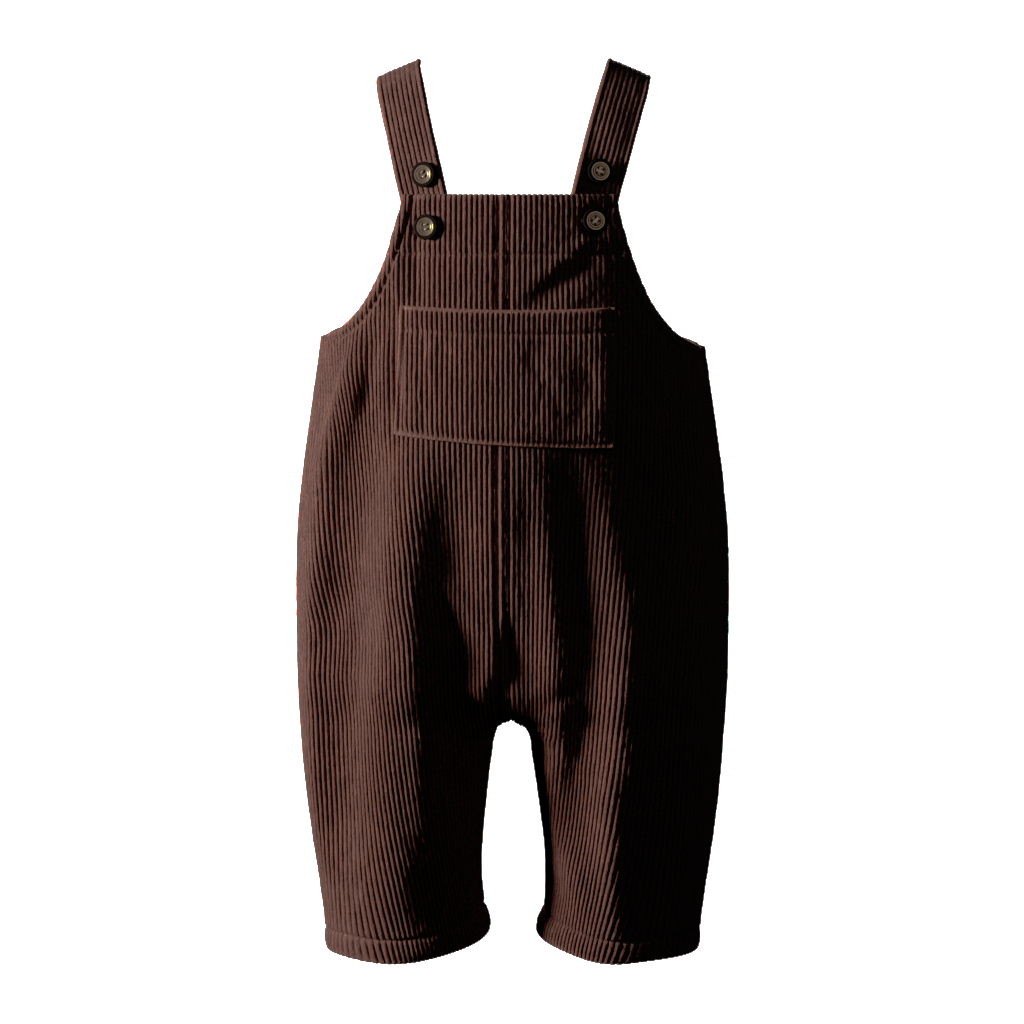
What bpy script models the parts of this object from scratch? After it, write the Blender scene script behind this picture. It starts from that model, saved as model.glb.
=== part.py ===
"""Toddler overalls in wide-wale corduroy, hollow and filled out as when they are worn.

The garment faces -Y and +Z is up. The origin is where a wearer's shoulders hold it up:
the middle between the two straps, at the height of their inner crests. Sizes below are
in millimetres, a "drop" is a distance below the origin, and each mesh is in metres.

Four panels (front and back, left and right) are sewn at the centre seams, side seams and
inseams. Each is a wall with raised wales outside and a plain inside. A patch pocket lies on
the front, two straps run over the shoulders, and four buttons sit on straps and bib.
"Left" is -X, the left as one faces the garment.
"""
import math

import bmesh
import bpy
import numpy as np
from mathutils import Vector

MM = 0.001

# ---------------------------------------------------------------- cloth
WALE_PITCH = 3.26       # one wale with its groove
WALE_HEIGHT = 0.8
WALL = 1.6              # cloth under the grooves
STRAP_WALL = 2.2        # a strap is folded double
SEAM_GAP = 0.3
INSIDE_STEP = 15.0      # spacing of the points across a plain inside

# ---------------------------------------------------------------- heights, as drops
BIB_TOP = 83.0
BACK_TOP = 92.0
ARMHOLE_ENDS = {"left": 171.5, "right": 177.5}
TUCK_START = 385.0      # the centre seams start to curve under the body
CROTCH = 418.5
SIDE_AT_CROTCH = 446.0  # where the row through the crotch meets the side seam
HEM_INNER = 562.0
HEM_SIDES = {"left": 577.0, "right": 572.8}
# How far each hem sags, and the place and spread of the sag round the leg.
HEM_SAG = {"left": (3.8, 0.52, 0.2), "right": (4.2, 0.46, 0.16)}

# Rows of a panel: drops beside the armhole and below it, degrees round the crotch curve, and
# shares of the inseam.
ARMHOLE_ROWS = (110, 136, 153, 165)
BODY_ROWS = (222, 272, 325, 385)
TUCK_ROWS = (35, 65, 90)
LEG_ROWS = (0.03, 0.12, 0.5, 1.0)

ARCH_HEIGHT = 20.0      # of the arch between the legs
BRIDGE_POWER = 4        # how tightly the bridge between the legs blends into them
LEG_GAIN_START = 240.0

# Where the wales run: they keep their distance from one side, first along the body and then along
# the leg, close in on the centre by the crotch, and twist inward by the hem.
LEG_MIDDLE = 68.0
LEG_BLEND = (385.0, 530.0)
BODY_LEAN_DROPS = (230.0, 430.0)
BODY_LEAN = {"front": 11.0, "back": 7.0}
LEG_LEAN_START = 390.0
LEG_LEAN = {"front": 24.0, "back": 12.0}


def table(columns, *rows):
    """Rows of numbers under named columns, as a dictionary of arrays."""
    names = columns.split()
    return {name: np.array([row[i] for row in rows], float) for i, name in enumerate(names)}


# The hollow form: the width of each side, the depth of the trunk, and that of each leg's bulge.
FORM = table(
    "drop  width  front  leg_front  back  leg_back",
    (83, 106.0, 49.0, 0.0, 46.0, 0.0),
    (120, 114.0, 54.0, 0.0, 50.0, 0.0),
    (150, 117.8, 57.0, 0.0, 52.0, 0.0),
    (177, 120.4, 60.0, 0.0, 54.0, 0.0),
    (198, 123.4, 61.5, 0.0, 55.0, 0.0),
    (230, 128.4, 63.0, 0.0, 57.0, 0.0),
    (262, 133.0, 64.5, 14.0, 59.0, 14.0),
    (295, 136.4, 65.5, 32.0, 61.0, 32.0),
    (328, 137.6, 65.0, 40.0, 62.0, 42.0),
    (360, 137.8, 63.0, 48.0, 61.0, 51.0),
    (394, 137.6, 61.0, 54.0, 60.0, 57.5),
    (427, 136.2, 58.0, 57.0, 58.0, 60.5),
    (453, 134.4, 56.0, 54.5, 56.0, 58.0),
    (478, 132.1, 54.0, 51.0, 54.0, 54.5),
    (505, 128.9, 54.0, 47.5, 54.0, 50.5),
    (532, 125.3, 52.0, 44.0, 52.0, 46.0),
    (560, 122.4, 50.0, 41.0, 50.0, 42.0),
    (580, 122.4, 50.0, 40.0, 50.0, 40.0),
)

# The inner side of a leg, below the arch.
INSEAM = table(
    "drop  left  right",
    (418, 12.2, 13.6),
    (441, 13.6, 14.1),
    (457, 15.9, 16.5),
    (478, 18.2, 19.5),
    (503, 20.6, 22.4),
    (530, 21.0, 23.0),
    (547, 18.9, 21.8),
    (562, 14.6, 16.2),
    (580, 12.7, 14.2),
)

# How far each edge of the bib and of the back yoke stands from the centre, beside the armholes.
ARMHOLE = table(
    "drop  front_left  front_right  back_left  back_right",
    (83, 65.0, 66.8, 66.0, 64.5),
    (92, 66.8, 67.4, 71.5, 65.5),
    (104, 70.0, 70.6, 74.0, 68.0),
    (119, 75.0, 75.3, 77.5, 72.3),
    (138, 83.6, 82.8, 84.5, 79.3),
    (148, 89.5, 87.8, 89.5, 84.5),
    (158, 97.6, 94.7, 96.5, 90.5),
    (164, 104.4, 99.7, 102.5, 94.5),
    (168, 111.0, 103.6, 108.5, 98.3),
    (171.5, 118.5, 108.3, 118.5, 102.0),
    (174.5, 121.0, 113.0, 121.0, 107.0),
    (177.5, 121.5, 119.0, 121.5, 119.0),
)

# Large folds of each panel, as ridges (out) and troughs (in) along a path of three points.
FOLD_COLUMNS = "side1 drop1 side2 drop2 side3 drop3 width height"
FOLDS = {
    "front_left": table(
        FOLD_COLUMNS,
        (34, 230, 35, 345, 37, 526, 18.1, -7.4),
        (54, 205, 75, 305, 51, 413, 24.2, 7.9),
        (82, 172, 105, 307, 115, 600, 20.1, -17.0),
        (81, 150, 120, 212, 134, 380, 10.9, 10.2),
        (128, 286, 132, 361, 134, 544, 9.6, 9.1),
        (53, 388, 50, 482, 41, 542, 11.5, 5.3),
        (50, 296, 13, 354, 12, 433, 8.9, 2.0),
        (0, 263, 0, 345, 7, 440, 19.5, -3.2),
    ),
    "front_right": table(
        FOLD_COLUMNS,
        (34, 211, 52, 293, 40, 532, 17.7, -9.1),
        (52, 209, 63, 352, 60, 600, 16.3, 2.5),
        (48, 157, 92, 379, 97, 600, 26.0, -5.7),
        (126, 150, 87, 256, 126, 380, 15.2, -3.8),
        (97, 426, 122, 495, 52, 508, 14.4, 0.6),
        (29, 394, 24, 503, 51, 553, 11.4, 13.0),
        (10, 226, 15, 342, 19, 452, 9.3, -2.3),
        (0, 263, 0, 345, 7, 440, 19.5, -3.2),
    ),
    "back_left": table(
        FOLD_COLUMNS,
        (40, 280, 44, 350, 34, 430, 13.0, -9.0),
        (84, 215, 76, 340, 70, 500, 15.0, 4.0),
        (104, 230, 110, 330, 104, 470, 12.0, -5.0),
    ),
    "back_right": table(
        FOLD_COLUMNS,
        (44, 270, 42, 345, 32, 425, 12.0, -10.0),
        (80, 210, 74, 345, 68, 500, 15.0, 5.0),
        (100, 235, 108, 340, 102, 465, 13.0, -4.0),
    ),
}
FOLD_FADE = 0.3         # share of a fold's length over which it fades in and out

# ---------------------------------------------------------------- pocket
# Its signed sides, and its drops at the left, the middle and the right, at top and bottom.
POCKET = table(
    "share  left  right  left_drop  middle_drop  right_drop",
    (0, -65.5, 66.6, 150.5, 152.6, 151.4),
    (1, -69.0, 66.4, 229.5, 234.6, 236.8),
)
POCKET_BANDS = 3
POCKET_LIFT = 1.6       # from the panel's grooves to the pocket's inside
POCKET_GAPE = 3.0       # how much further its right side stands off
GAPE_SIDES = (12.0, 60.0)

# ---------------------------------------------------------------- straps
STRAP_WIDTH = 28.6
STRAP_ROWS = 19
# The middle of a strap from its front end to its back end. The share of the hollow form's depth
# at which it lies is negative in front, the tilt lowers its outer edge, and the last two columns
# say how much further outward the left and the right strap lie.
STRAP = table(
    "side  drop  share  tilt  left  right",
    (42.8, 124.0, -0.932, 13.5, 0.0, 0.3),
    (48.6, 100.0, -0.928, 13.5, 0.0, 0.3),
    (52.7, 83.0, -0.918, 13.5, 0.0, 0.3),
    (57.8, 62.0, -0.85, 13.5, 0.0, 0.4),
    (62.9, 40.0, -0.745, 14.0, 0.0, 1.0),
    (67.3, 20.5, -0.57, 17.0, 0.0, 1.9),
    (69.7, 9.5, -0.345, 21.0, 0.0, 2.4),
    (70.6, 6.0, 0.0, 24.0, 0.0, 2.4),
    (69.9, 9.5, 0.37, 21.0, 2.6, 2.0),
    (67.4, 20.5, 0.60, 16.0, 4.2, 1.4),
    (62.6, 40.0, 0.78, 10.0, 5.5, 0.7),
    (56.8, 65.0, 0.86, 8.0, 6.0, 0.3),
    (51.0, 92.0, 0.905, 8.0, 6.3, 0.0),
    (45.6, 120.0, 0.92, 8.0, 6.4, 0.0),
)
STRAP_TWIST = {"left": 0.0, "right": 11.0}     # degrees by which the free front of a strap faces further left
TWIST_DROPS = (50.0, 84.0)

# ---------------------------------------------------------------- buttons
BUTTON_LIFT = 0.3       # from the wales to the button
BUTTON_SEGMENTS = 16
BUTTON_HOLES = 4
HOLE_RADIUS = 0.85
HOLE_CIRCLE = 2.0
HOLE_SEGMENTS = 6
# A button's outline from its axis below, round its rim, to its axis above.
BUTTON_PROFILE = table(
    "radius height",
    (0.0, 0.0), (5.4, 0.0), (7.9, 1.2), (7.7, 1.8), (6.6, 2.2), (5.2, 2.2), (4.0, 1.6), (0.0, 1.4),
)
STRAP_BUTTONS = {"left": (72.6, -4.2), "right": (69.8, -1.1)}     # drop, distance outward of the middle
BIB_BUTTONS = {"left": (49.3, 103.0), "right": (52.5, 99.1)}    # side, drop

CORDUROY_BROWN = (0.155, 0.075, 0.055, 1.0)
HORN = (0.25, 0.21, 0.16, 1.0)
SIGNS = {"left": -1.0, "right": 1.0}
TOWARD = {"front": -1.0, "back": 1.0}
TOPS = {"front": BIB_TOP, "back": BACK_TOP}


def smooth(source, column, at, key="drop"):
    """A smooth curve through one column of a table: cubic Hermite pieces."""
    keys, values = source[key], source[column]
    slopes = np.gradient(values, keys)
    at = np.clip(at, keys[0], keys[-1])
    i = np.clip(np.searchsorted(keys, at, side="right") - 1, 0, len(keys) - 2)
    span = keys[i + 1] - keys[i]
    s = (at - keys[i]) / span
    start = values[i] * (1 + 2 * s) * (1 - s) ** 2 + slopes[i] * span * s * (1 - s) ** 2
    end = values[i + 1] * s ** 2 * (3 - 2 * s) - slopes[i + 1] * span * s ** 2 * (1 - s)
    return start + end


def ease(low, high, x):
    """0 below low, 1 above high, smooth between."""
    s = np.clip((x - low) / (high - low), 0.0, 1.0)
    return s * s * (3 - 2 * s)


# ---------------------------------------------------------------- the hollow form
def inner_side(hand, drop):
    """How far the inside of a leg stands from the centre: an arch at the crotch, then the inseam."""
    below = np.maximum(drop - CROTCH, 0.0)
    rise = np.minimum(below / ARCH_HEIGHT, 1.0)
    arch = np.sqrt(rise * (2 - rise))
    return arch * smooth(INSEAM, hand, np.maximum(drop, CROTCH))


def fold_height(name, side, drop):
    """The sum of a panel's ridges and troughs at a point of its front view."""
    folds = FOLDS[name]
    total = np.zeros_like(side)
    for i in range(len(folds["width"])):
        first, last = folds["drop1"][i], folds["drop3"][i]
        along = (drop - first) / (last - first)
        early = folds["side1"][i] + (folds["side2"][i] - folds["side1"][i]) * 2 * along
        late = folds["side2"][i] + (folds["side3"][i] - folds["side2"][i]) * (2 * along - 1)
        turn = ease(0.3, 0.7, along)
        middle = early * (1 - turn) + late * turn
        fade = ease(0.0, FOLD_FADE, along) * ease(0.0, FOLD_FADE, 1 - along)
        across = (side - middle) / folds["width"][i]
        total += folds["height"][i] * fade * np.exp(-across ** 2)
    return total


def depth(name, side, drop):
    """How far a panel's surface stands from the plane of the side seams."""
    face, hand = name.split("_")
    width = smooth(FORM, "width", drop)
    inner = inner_side(hand, drop)
    tuck = np.clip((drop - TUCK_START) / (CROTCH - TUCK_START), 0.0, 1.0)
    bridge = smooth(FORM, face, drop) * np.sqrt(1 - tuck ** 2)
    bridge = bridge * np.sqrt(np.maximum(1 - (side / width) ** 2, 0.0))
    middle, half = (width + inner) / 2, (width - inner) / 2
    leg = np.maximum(smooth(FORM, "leg_" + face, drop), 0.0) * ease(LEG_GAIN_START, LEG_GAIN_START + 20, drop)
    leg = leg * np.sqrt(np.maximum(1 - ((side - middle) / half) ** 2, 0.0))
    plain = (bridge ** BRIDGE_POWER + leg ** BRIDGE_POWER) ** (1 / BRIDGE_POWER)
    return plain * (1 + fold_height(name, side, drop) / smooth(FORM, face, drop))


def row_shape(name, v):
    """A row's drop at the centre line or inseam, its drop at the side, and its share of leg.

    v runs from 0 at the top to 1 at the start of the crotch curve, 2 at the crotch and 3 at the hem.
    """
    face, hand = name.split("_")
    if v < 1:
        drop = TOPS[face] + (TUCK_START - TOPS[face]) * v
        return drop, drop, 0.0
    if v < 2:
        turn = (v - 1) * math.pi / 2
        inner = TUCK_START + (CROTCH - TUCK_START) * math.sin(turn)
        return inner, TUCK_START + (SIDE_AT_CROTCH - TUCK_START) * (v - 1), 1 - math.cos(turn)
    share = v - 2
    side_drop = SIDE_AT_CROTCH + (HEM_SIDES[hand] - SIDE_AT_CROTCH) * share
    return CROTCH + (HEM_INNER - CROTCH) * share, side_drop, 1.0


def panel_points(name, t, v):
    """Points of a panel's middle line, t from 0 at the centre seam or inseam to 1 at the side seam."""
    face, hand = name.split("_")
    inner_drop, side_drop, leg_share = row_shape(name, v)
    leg = max(v - 2.0, 0.0)
    sag, place, spread = HEM_SAG[hand]
    drop = inner_drop + (side_drop - inner_drop) * t ** (2.0 - 1.2 * leg)
    drop = drop + sag * leg ** 2 * np.exp(-((t - place) / spread) ** 2)
    width, inner = smooth(FORM, "width", drop), inner_side(hand, drop)
    on_body = width * np.sin(t * math.pi / 2)
    on_leg = (width + inner) / 2 - (width - inner) / 2 * np.cos(t * math.pi)
    side = on_body * (1 - leg_share) + on_leg * leg_share
    return np.stack([SIGNS[hand] * side, TOWARD[face] * depth(name, side, drop), -drop], axis=1)


def outward(name, t, v):
    """Unit normals of a panel, kept in the plane of each seam along that seam."""
    face, hand = name.split("_")
    step = 1e-3
    low_t, high_t = np.maximum(t - step, 0.0), np.minimum(t + step, 1.0)
    low_v, high_v = max(v - step, 0.0), min(v + step, 3.0)
    across = panel_points(name, high_t, v) - panel_points(name, low_t, v)
    down = panel_points(name, t, high_v) - panel_points(name, t, low_v)
    normal = np.cross(across, down) * SIGNS[hand] * TOWARD[face]
    if v <= 2:
        normal[t <= 0.0, 0] = 0.0
    if v >= 2:
        normal[t <= 0.0, 1] = 0.0
    normal[t >= 1.0, 1] = 0.0
    return normal / np.linalg.norm(normal, axis=1)[:, None]


def wale(u):
    """Height of the cloth's wales above their grooves, u across the wales."""
    return WALE_HEIGHT * (0.5 + 0.5 * np.cos(2 * math.pi * u / WALE_PITCH))


def spaced(low, high, step):
    """Both ends, and each whole multiple of the step that lies well between them."""
    inside = np.arange(math.ceil(low / step), math.floor(high / step) + 1) * step
    inside = inside[(inside > low + step / 3) & (inside < high - step / 3)]
    return np.concatenate([[low], inside, [high]])


# ---------------------------------------------------------------- walls from rows of points
def zip_rows(first, second):
    """Triangles between two rows of (distance along the row, vertex)."""
    i = j = 0
    while i < len(first) - 1 or j < len(second) - 1:
        step_first = j == len(second) - 1 or (
            i < len(first) - 1 and first[i + 1][0] <= second[j + 1][0])
        if step_first:
            yield first[i][1], first[i + 1][1], second[j][1]
            i += 1
        else:
            yield first[i][1], second[j + 1][1], second[j][1]
            j += 1


def make_wall(name, outside, inside, material, offset=(0.0, 0.0, 0.0)):
    """A closed wall between two lists of rows, each row a pair (distances, points)."""
    bm = bmesh.new()

    def add(row):
        return [(u, bm.verts.new((point + offset) * MM)) for u, point in zip(*row)]

    outer, inner = [add(row) for row in outside], [add(row) for row in inside]
    for rows, order in ((outer, 1), (inner, -1)):
        for upper, lower in zip(rows, rows[1:]):
            for corners in zip_rows(upper, lower):
                bm.faces.new(corners[::order])
    for corners in zip_rows(inner[0], outer[0]):
        bm.faces.new(corners)
    for corners in zip_rows(outer[-1], inner[-1]):
        bm.faces.new(corners)
    for end, order in ((0, 1), (-1, -1)):
        for upper, lower in zip(range(len(outer)), range(1, len(outer))):
            ring = [outer[upper][end][1], outer[lower][end][1], inner[lower][end][1], inner[upper][end][1]]
            bm.faces.new(ring[::order])
    if bm.calc_volume(signed=True) < 0:
        bmesh.ops.reverse_faces(bm, faces=bm.faces)
    return add_object(name, bm, material)


def add_object(name, bm, material):
    mesh = bpy.data.meshes.new(name)
    bm.to_mesh(mesh)
    bm.free()
    mesh.materials.append(material)
    item = bpy.data.objects.new(name, mesh)
    bpy.context.scene.collection.objects.link(item)
    return item


def make_material(name, colour, roughness):
    material = bpy.data.materials.new(name)
    material.use_nodes = True
    shader = material.node_tree.nodes["Principled BSDF"]
    shader.inputs["Base Color"].default_value = colour
    shader.inputs["Roughness"].default_value = roughness
    shader.inputs["Metallic"].default_value = 0.0
    return material


# ---------------------------------------------------------------- panels
def row_profile(name, t, v):
    """One row's distances from the centre in front view, and along the cloth from LEG_MIDDLE."""
    points = panel_points(name, t, v)
    side, steps = np.abs(points[:, 0]), np.linalg.norm(np.diff(points, axis=0), axis=1)
    length = np.concatenate([[0.0], np.cumsum(steps)])
    return side, length - np.interp(LEG_MIDDLE, side, length)


def wale_lengths(name, t, v):
    """Where points of one row lie across the wales."""
    face = name.split("_")[0]
    drop = -panel_points(name, t, v)[:, 2]
    side, length = row_profile(name, t, v)
    if v <= 1:
        length = length - length[0]
    else:
        fine = np.linspace(0.0, 1.0, 200)
        body_side, body_length = row_profile(name, fine, 1.0)
        on_body = np.interp(side, body_side, body_length)
        if v < 2:
            leg_side, leg_length = row_profile(name, fine, 2.0)
            length = np.interp(side, np.maximum.accumulate(leg_side), leg_length)
        turn = ease(*LEG_BLEND, drop)
        length = on_body * (1 - turn) + length * turn - body_length[0]
    below = np.maximum(drop - LEG_LEAN_START, 0.0) / (HEM_INNER - LEG_LEAN_START)
    twist = LEG_LEAN[face] * below ** 1.6 * (1 - 0.7 * ease(60.0, 120.0, side))
    return length + twist + BODY_LEAN[face] * ease(*BODY_LEAN_DROPS, drop) * ease(0.0, 65.0, side)


def panel_row(name, v):
    """The outside and the inside of one row: (distances across the wales, points) for each."""
    drop = row_shape(name, v)[0]
    last = 1.0
    if drop < ARMHOLE_ENDS[name.split("_")[1]] - 1e-6:
        last = math.asin(smooth(ARMHOLE, name, drop) / smooth(FORM, "width", drop)) / (math.pi / 2)
    fine = np.linspace(0.0, last, 200)
    length = wale_lengths(name, fine, v)

    def points(step, lift):
        u = spaced(length[0], length[-1], step)
        t = np.interp(u, length, fine)
        height = lift(u)[:, None] if callable(lift) else lift
        return u, panel_points(name, t, v) + outward(name, t, v) * height

    return points(WALE_PITCH / 2, wale), points(INSIDE_STEP, -WALL)


def make_panel(name, material):
    face, hand = name.split("_")
    top = TOPS[face]
    drops = (*ARMHOLE_ROWS, ARMHOLE_ENDS[hand], *BODY_ROWS)
    rows = [0.0] + [(drop - top) / (TUCK_START - top) for drop in drops]
    rows += [1 + angle / 90 for angle in TUCK_ROWS]
    rows += [2 + share for share in LEG_ROWS]
    both = [panel_row(name, v) for v in rows]
    offset = np.array([SIGNS[hand], TOWARD[face], 0.0]) * SEAM_GAP / 2
    return make_wall(name, [row[0] for row in both], [row[1] for row in both], material, offset)


# ---------------------------------------------------------------- what lies on the front
def front_at(side, drop):
    """The front's point and outward normal at a signed distance from the centre and a drop."""
    name = "front_left" if side < 0 else "front_right"
    t = math.asin(abs(side) / smooth(FORM, "width", drop)) / (math.pi / 2)
    v = (drop - BIB_TOP) / (TUCK_START - BIB_TOP)
    t = np.array([max(t, 1e-4)])
    return panel_points(name, t, v)[0], outward(name, t, v)[0]


def pocket_edges(down):
    """The pocket's signed left and right sides at a share of the way down."""
    return [POCKET[key][0] + (POCKET[key][1] - POCKET[key][0]) * down for key in ("left", "right")]


def pocket_drop(side, down):
    """The drop at a signed side and a share of the way down: its top and bottom edges are curved."""
    left, right = pocket_edges(down)
    across = (2 * side - left - right) / (right - left)
    first, middle, last = [POCKET[key][0] + (POCKET[key][1] - POCKET[key][0]) * down
                           for key in ("left_drop", "middle_drop", "right_drop")]
    return middle + (last - first) / 2 * across + ((last + first) / 2 - middle) * across ** 2


def make_pocket(material):
    outside, inside = [], []
    for down in np.linspace(0.0, 1.0, POCKET_BANDS + 1):
        left, right = pocket_edges(down)
        for rows, step in ((outside, WALE_PITCH / 2), (inside, INSIDE_STEP / 2)):
            u = spaced(left, right, step)
            places = [front_at(side, drop) for side, drop in zip(u, pocket_drop(u, down))]
            heights = POCKET_LIFT + POCKET_GAPE * ease(*GAPE_SIDES, u)
            if rows is outside:
                heights = heights + WALL + wale(u)
            rows.append((u, np.array([point + normal * h for (point, normal), h in zip(places, heights)])))
    return make_wall("pocket", outside, inside, material, np.array([0.0, -SEAM_GAP / 2, 0.0]))


def strap_middle(hand, s):
    """The middle of a strap and how its outer edge turns away from the viewer, s from 0 to 1."""
    keys = dict(STRAP, step=np.linspace(0.0, 1.0, len(STRAP["side"])))
    side, drop, share, tilt, outer = (smooth(keys, column, s, "step")
                                      for column in ("side", "drop", "share", "tilt", hand))
    side += outer
    name = ("front_" if share < 0 else "back_") + hand
    here, beyond = depth(name, np.array([side, side + 1.0]), drop)
    place = np.array([SIGNS[hand] * side, share * here, -drop])
    free = (1 - ease(*TWIST_DROPS, drop)) * ease(0.0, 0.5, -share)
    yaw = -share * math.atan(here - beyond) - math.radians(STRAP_TWIST[hand]) * free
    return place, yaw, math.radians(tilt)


def strap_frame(hand, s):
    """A strap's middle, the direction to its outer edge and its outward normal, s from 0 to 1."""
    step = 1e-3
    ahead = strap_middle(hand, min(s + step, 1.0))[0] - strap_middle(hand, max(s - step, 0.0))[0]
    ahead /= np.linalg.norm(ahead)
    middle, yaw, tilt = strap_middle(hand, s)
    across = np.array([SIGNS[hand] * math.cos(tilt) * math.cos(yaw), math.sin(yaw), -math.sin(tilt)])
    across -= ahead * across.dot(ahead)
    across /= np.linalg.norm(across)
    normal = np.cross(across, ahead) * SIGNS[hand]
    return middle, across, normal


def make_strap(hand, material):
    outside, inside = [], []
    for s in np.linspace(0.0, 1.0, STRAP_ROWS):
        middle, across, normal = strap_frame(hand, s)
        for rows, step, ribbed in ((outside, WALE_PITCH / 2, True), (inside, INSIDE_STEP, False)):
            u = spaced(-STRAP_WIDTH / 2, STRAP_WIDTH / 2, step)
            heights = wale(u) if ribbed else 0.0 * u - STRAP_WALL
            rows.append((u, middle + u[:, None] * across + heights[:, None] * normal))
    return make_wall("strap_" + hand, outside, inside, material)


# ---------------------------------------------------------------- buttons
def turned(profile, segments):
    """A closed body turned from an outline whose two ends are on the axis."""
    bm = bmesh.new()
    rings = []
    for radius, height in zip(profile["radius"], profile["height"]):
        angles = np.arange(segments) * 2 * math.pi / segments if radius > 0 else [0.0]
        rings.append([bm.verts.new((radius * math.cos(a) * MM, radius * math.sin(a) * MM, height * MM))
                      for a in angles])
    for low, high in zip(rings, rings[1:]):
        for i in range(segments):
            k = (i + 1) % segments
            corners = [low[i % len(low)], low[k % len(low)], high[k % len(high)], high[i % len(high)]]
            bm.faces.new(list(dict.fromkeys(corners)))
    if bm.calc_volume(signed=True) < 0:
        bmesh.ops.reverse_faces(bm, faces=bm.faces)
    return bm


def button_mesh(material):
    """The button with its sewing holes, as a mesh that all four buttons share."""
    disc = add_object("button_disc", turned(BUTTON_PROFILE, BUTTON_SEGMENTS), material)
    thickness = BUTTON_PROFILE["height"].max() * MM
    drills = bmesh.new()
    for i in range(BUTTON_HOLES):
        made = bmesh.ops.create_cone(
            drills, cap_ends=True, segments=HOLE_SEGMENTS, radius1=HOLE_RADIUS * MM,
            radius2=HOLE_RADIUS * MM, depth=3 * thickness)
        angle = (i + 0.5) * 2 * math.pi / BUTTON_HOLES
        place = (HOLE_CIRCLE * MM * math.cos(angle), HOLE_CIRCLE * MM * math.sin(angle), 0.0)
        bmesh.ops.translate(drills, verts=made["verts"], vec=place)
    cutter = add_object("button_drills", drills, material)
    cut = disc.modifiers.new("holes", "BOOLEAN")
    cut.object = cutter
    graph = bpy.context.evaluated_depsgraph_get()
    mesh = bpy.data.meshes.new_from_object(disc.evaluated_get(graph))
    for item in (disc, cutter):
        bpy.data.objects.remove(item)
    mesh.shade_smooth()
    mesh.set_sharp_from_angle(angle=math.radians(35))
    return mesh


def place_button(name, mesh, point, normal, lift):
    item = bpy.data.objects.new(name, mesh)
    item.location = (point + normal * lift) * MM
    item.rotation_mode = "QUATERNION"
    item.rotation_quaternion = Vector(normal).to_track_quat("Z", "Y")
    bpy.context.scene.collection.objects.link(item)
    return item


def make_buttons(material):
    mesh = button_mesh(material)
    lift = WALE_HEIGHT + BUTTON_LIFT
    for hand, sign in SIGNS.items():
        drop, outer = STRAP_BUTTONS[hand]
        s = min(np.linspace(0.0, 0.5, 501), key=lambda at: abs(strap_frame(hand, at)[0][2] + drop))
        middle, across, normal = strap_frame(hand, s)
        place_button("button_strap_" + hand, mesh, middle + across * outer, normal, lift)
        side, drop = BIB_BUTTONS[hand]
        point, normal = front_at(sign * side, drop)
        seam = np.array([sign, -1.0, 0.0]) * SEAM_GAP / 2
        place_button("button_bib_" + hand, mesh, point + seam, normal, lift)


def main():
    for item in list(bpy.data.objects):
        bpy.data.objects.remove(item)
    corduroy = make_material("corduroy", CORDUROY_BROWN, 0.9)
    horn = make_material("horn", HORN, 0.4)
    for name in FOLDS:
        make_panel(name, corduroy)
    make_pocket(corduroy)
    for hand in SIGNS:
        make_strap(hand, corduroy)
    make_buttons(horn)


main()
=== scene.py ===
"""The looks of a toddler's corduroy overalls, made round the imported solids.

The garment faces -Y and +Z is up. The origin is where shoulders hold it up. Sizes are in
millimetres, a "drop" is a distance below the origin, "left" is -X, and meshes are in metres.
Each cloth piece is a fine shell on its solid's form: rounded wales outside, a plain inside,
turned edges, creases, and grooves where it is sewn. The stitches themselves are thread.
"""
import math

import bmesh
import bpy
import numpy as np
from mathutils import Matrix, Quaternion, Vector


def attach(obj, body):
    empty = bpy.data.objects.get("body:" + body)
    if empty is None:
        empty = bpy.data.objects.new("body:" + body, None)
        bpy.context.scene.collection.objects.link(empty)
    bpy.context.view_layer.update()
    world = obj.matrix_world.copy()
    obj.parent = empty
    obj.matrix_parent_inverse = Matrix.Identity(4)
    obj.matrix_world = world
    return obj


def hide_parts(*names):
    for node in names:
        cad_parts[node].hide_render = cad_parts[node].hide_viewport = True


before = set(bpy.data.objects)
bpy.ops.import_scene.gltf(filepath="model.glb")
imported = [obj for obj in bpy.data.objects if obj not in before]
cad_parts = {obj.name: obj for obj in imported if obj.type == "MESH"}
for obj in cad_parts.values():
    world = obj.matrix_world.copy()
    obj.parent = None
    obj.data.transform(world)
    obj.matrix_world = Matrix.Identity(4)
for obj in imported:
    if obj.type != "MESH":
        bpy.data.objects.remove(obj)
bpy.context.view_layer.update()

MM = 0.001
SIGNS = {"left": -1.0, "right": 1.0}
TOWARD = {"front": -1.0, "back": 1.0}

# ---------------------------------------------------------------- cloth
WALE_PITCH = 3.26
WALE_HEIGHT = 1.35
GROOVE_SHARE = 0.07         # half a groove's flat bottom, as a share of the pitch
WALE_STOPS = np.array((0.0, 0.1, 0.19, 0.32, 0.5, 0.68, 0.81, 0.9))     # where a wale is sampled
INSIDE_STEP = 8             # the inside has one point for each so many outside
END_GAP = 0.12              # no stop is nearer than this to a row's end
HEIGHT_WAVER = (0.14, (7.3, 13.1, 29.0), 0.05, (61.0, 140.0))   # shares, and the lengths they vary over
STRAY = (0.2, (11.0, 23.0, 70.0))       # how far a wale strays sideways, and over which lengths
WALL = 1.6
STRAP_WALL = 2.2
TURNING = 1.1               # what a turned-in edge or a facing adds to the wall
EDGE = 1.4                  # a turned edge starts this far inside the cut solid's edge
ROLL_ANGLES = np.radians((22, 45, 68, 90, 115, 140, 160))
EDGE_PILE = 0.4             # how high the wales stand along a turned edge, as a share
EDGE_PILE_REACH = 3.5
EDGE_WEAR_AND_HIGHLIGHT = 1.5             # how wide a turned edge is worn pale and painted lighter as a highlight
FOLD_STEP = 1.5             # over which distance a folded edge grows thinner

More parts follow.
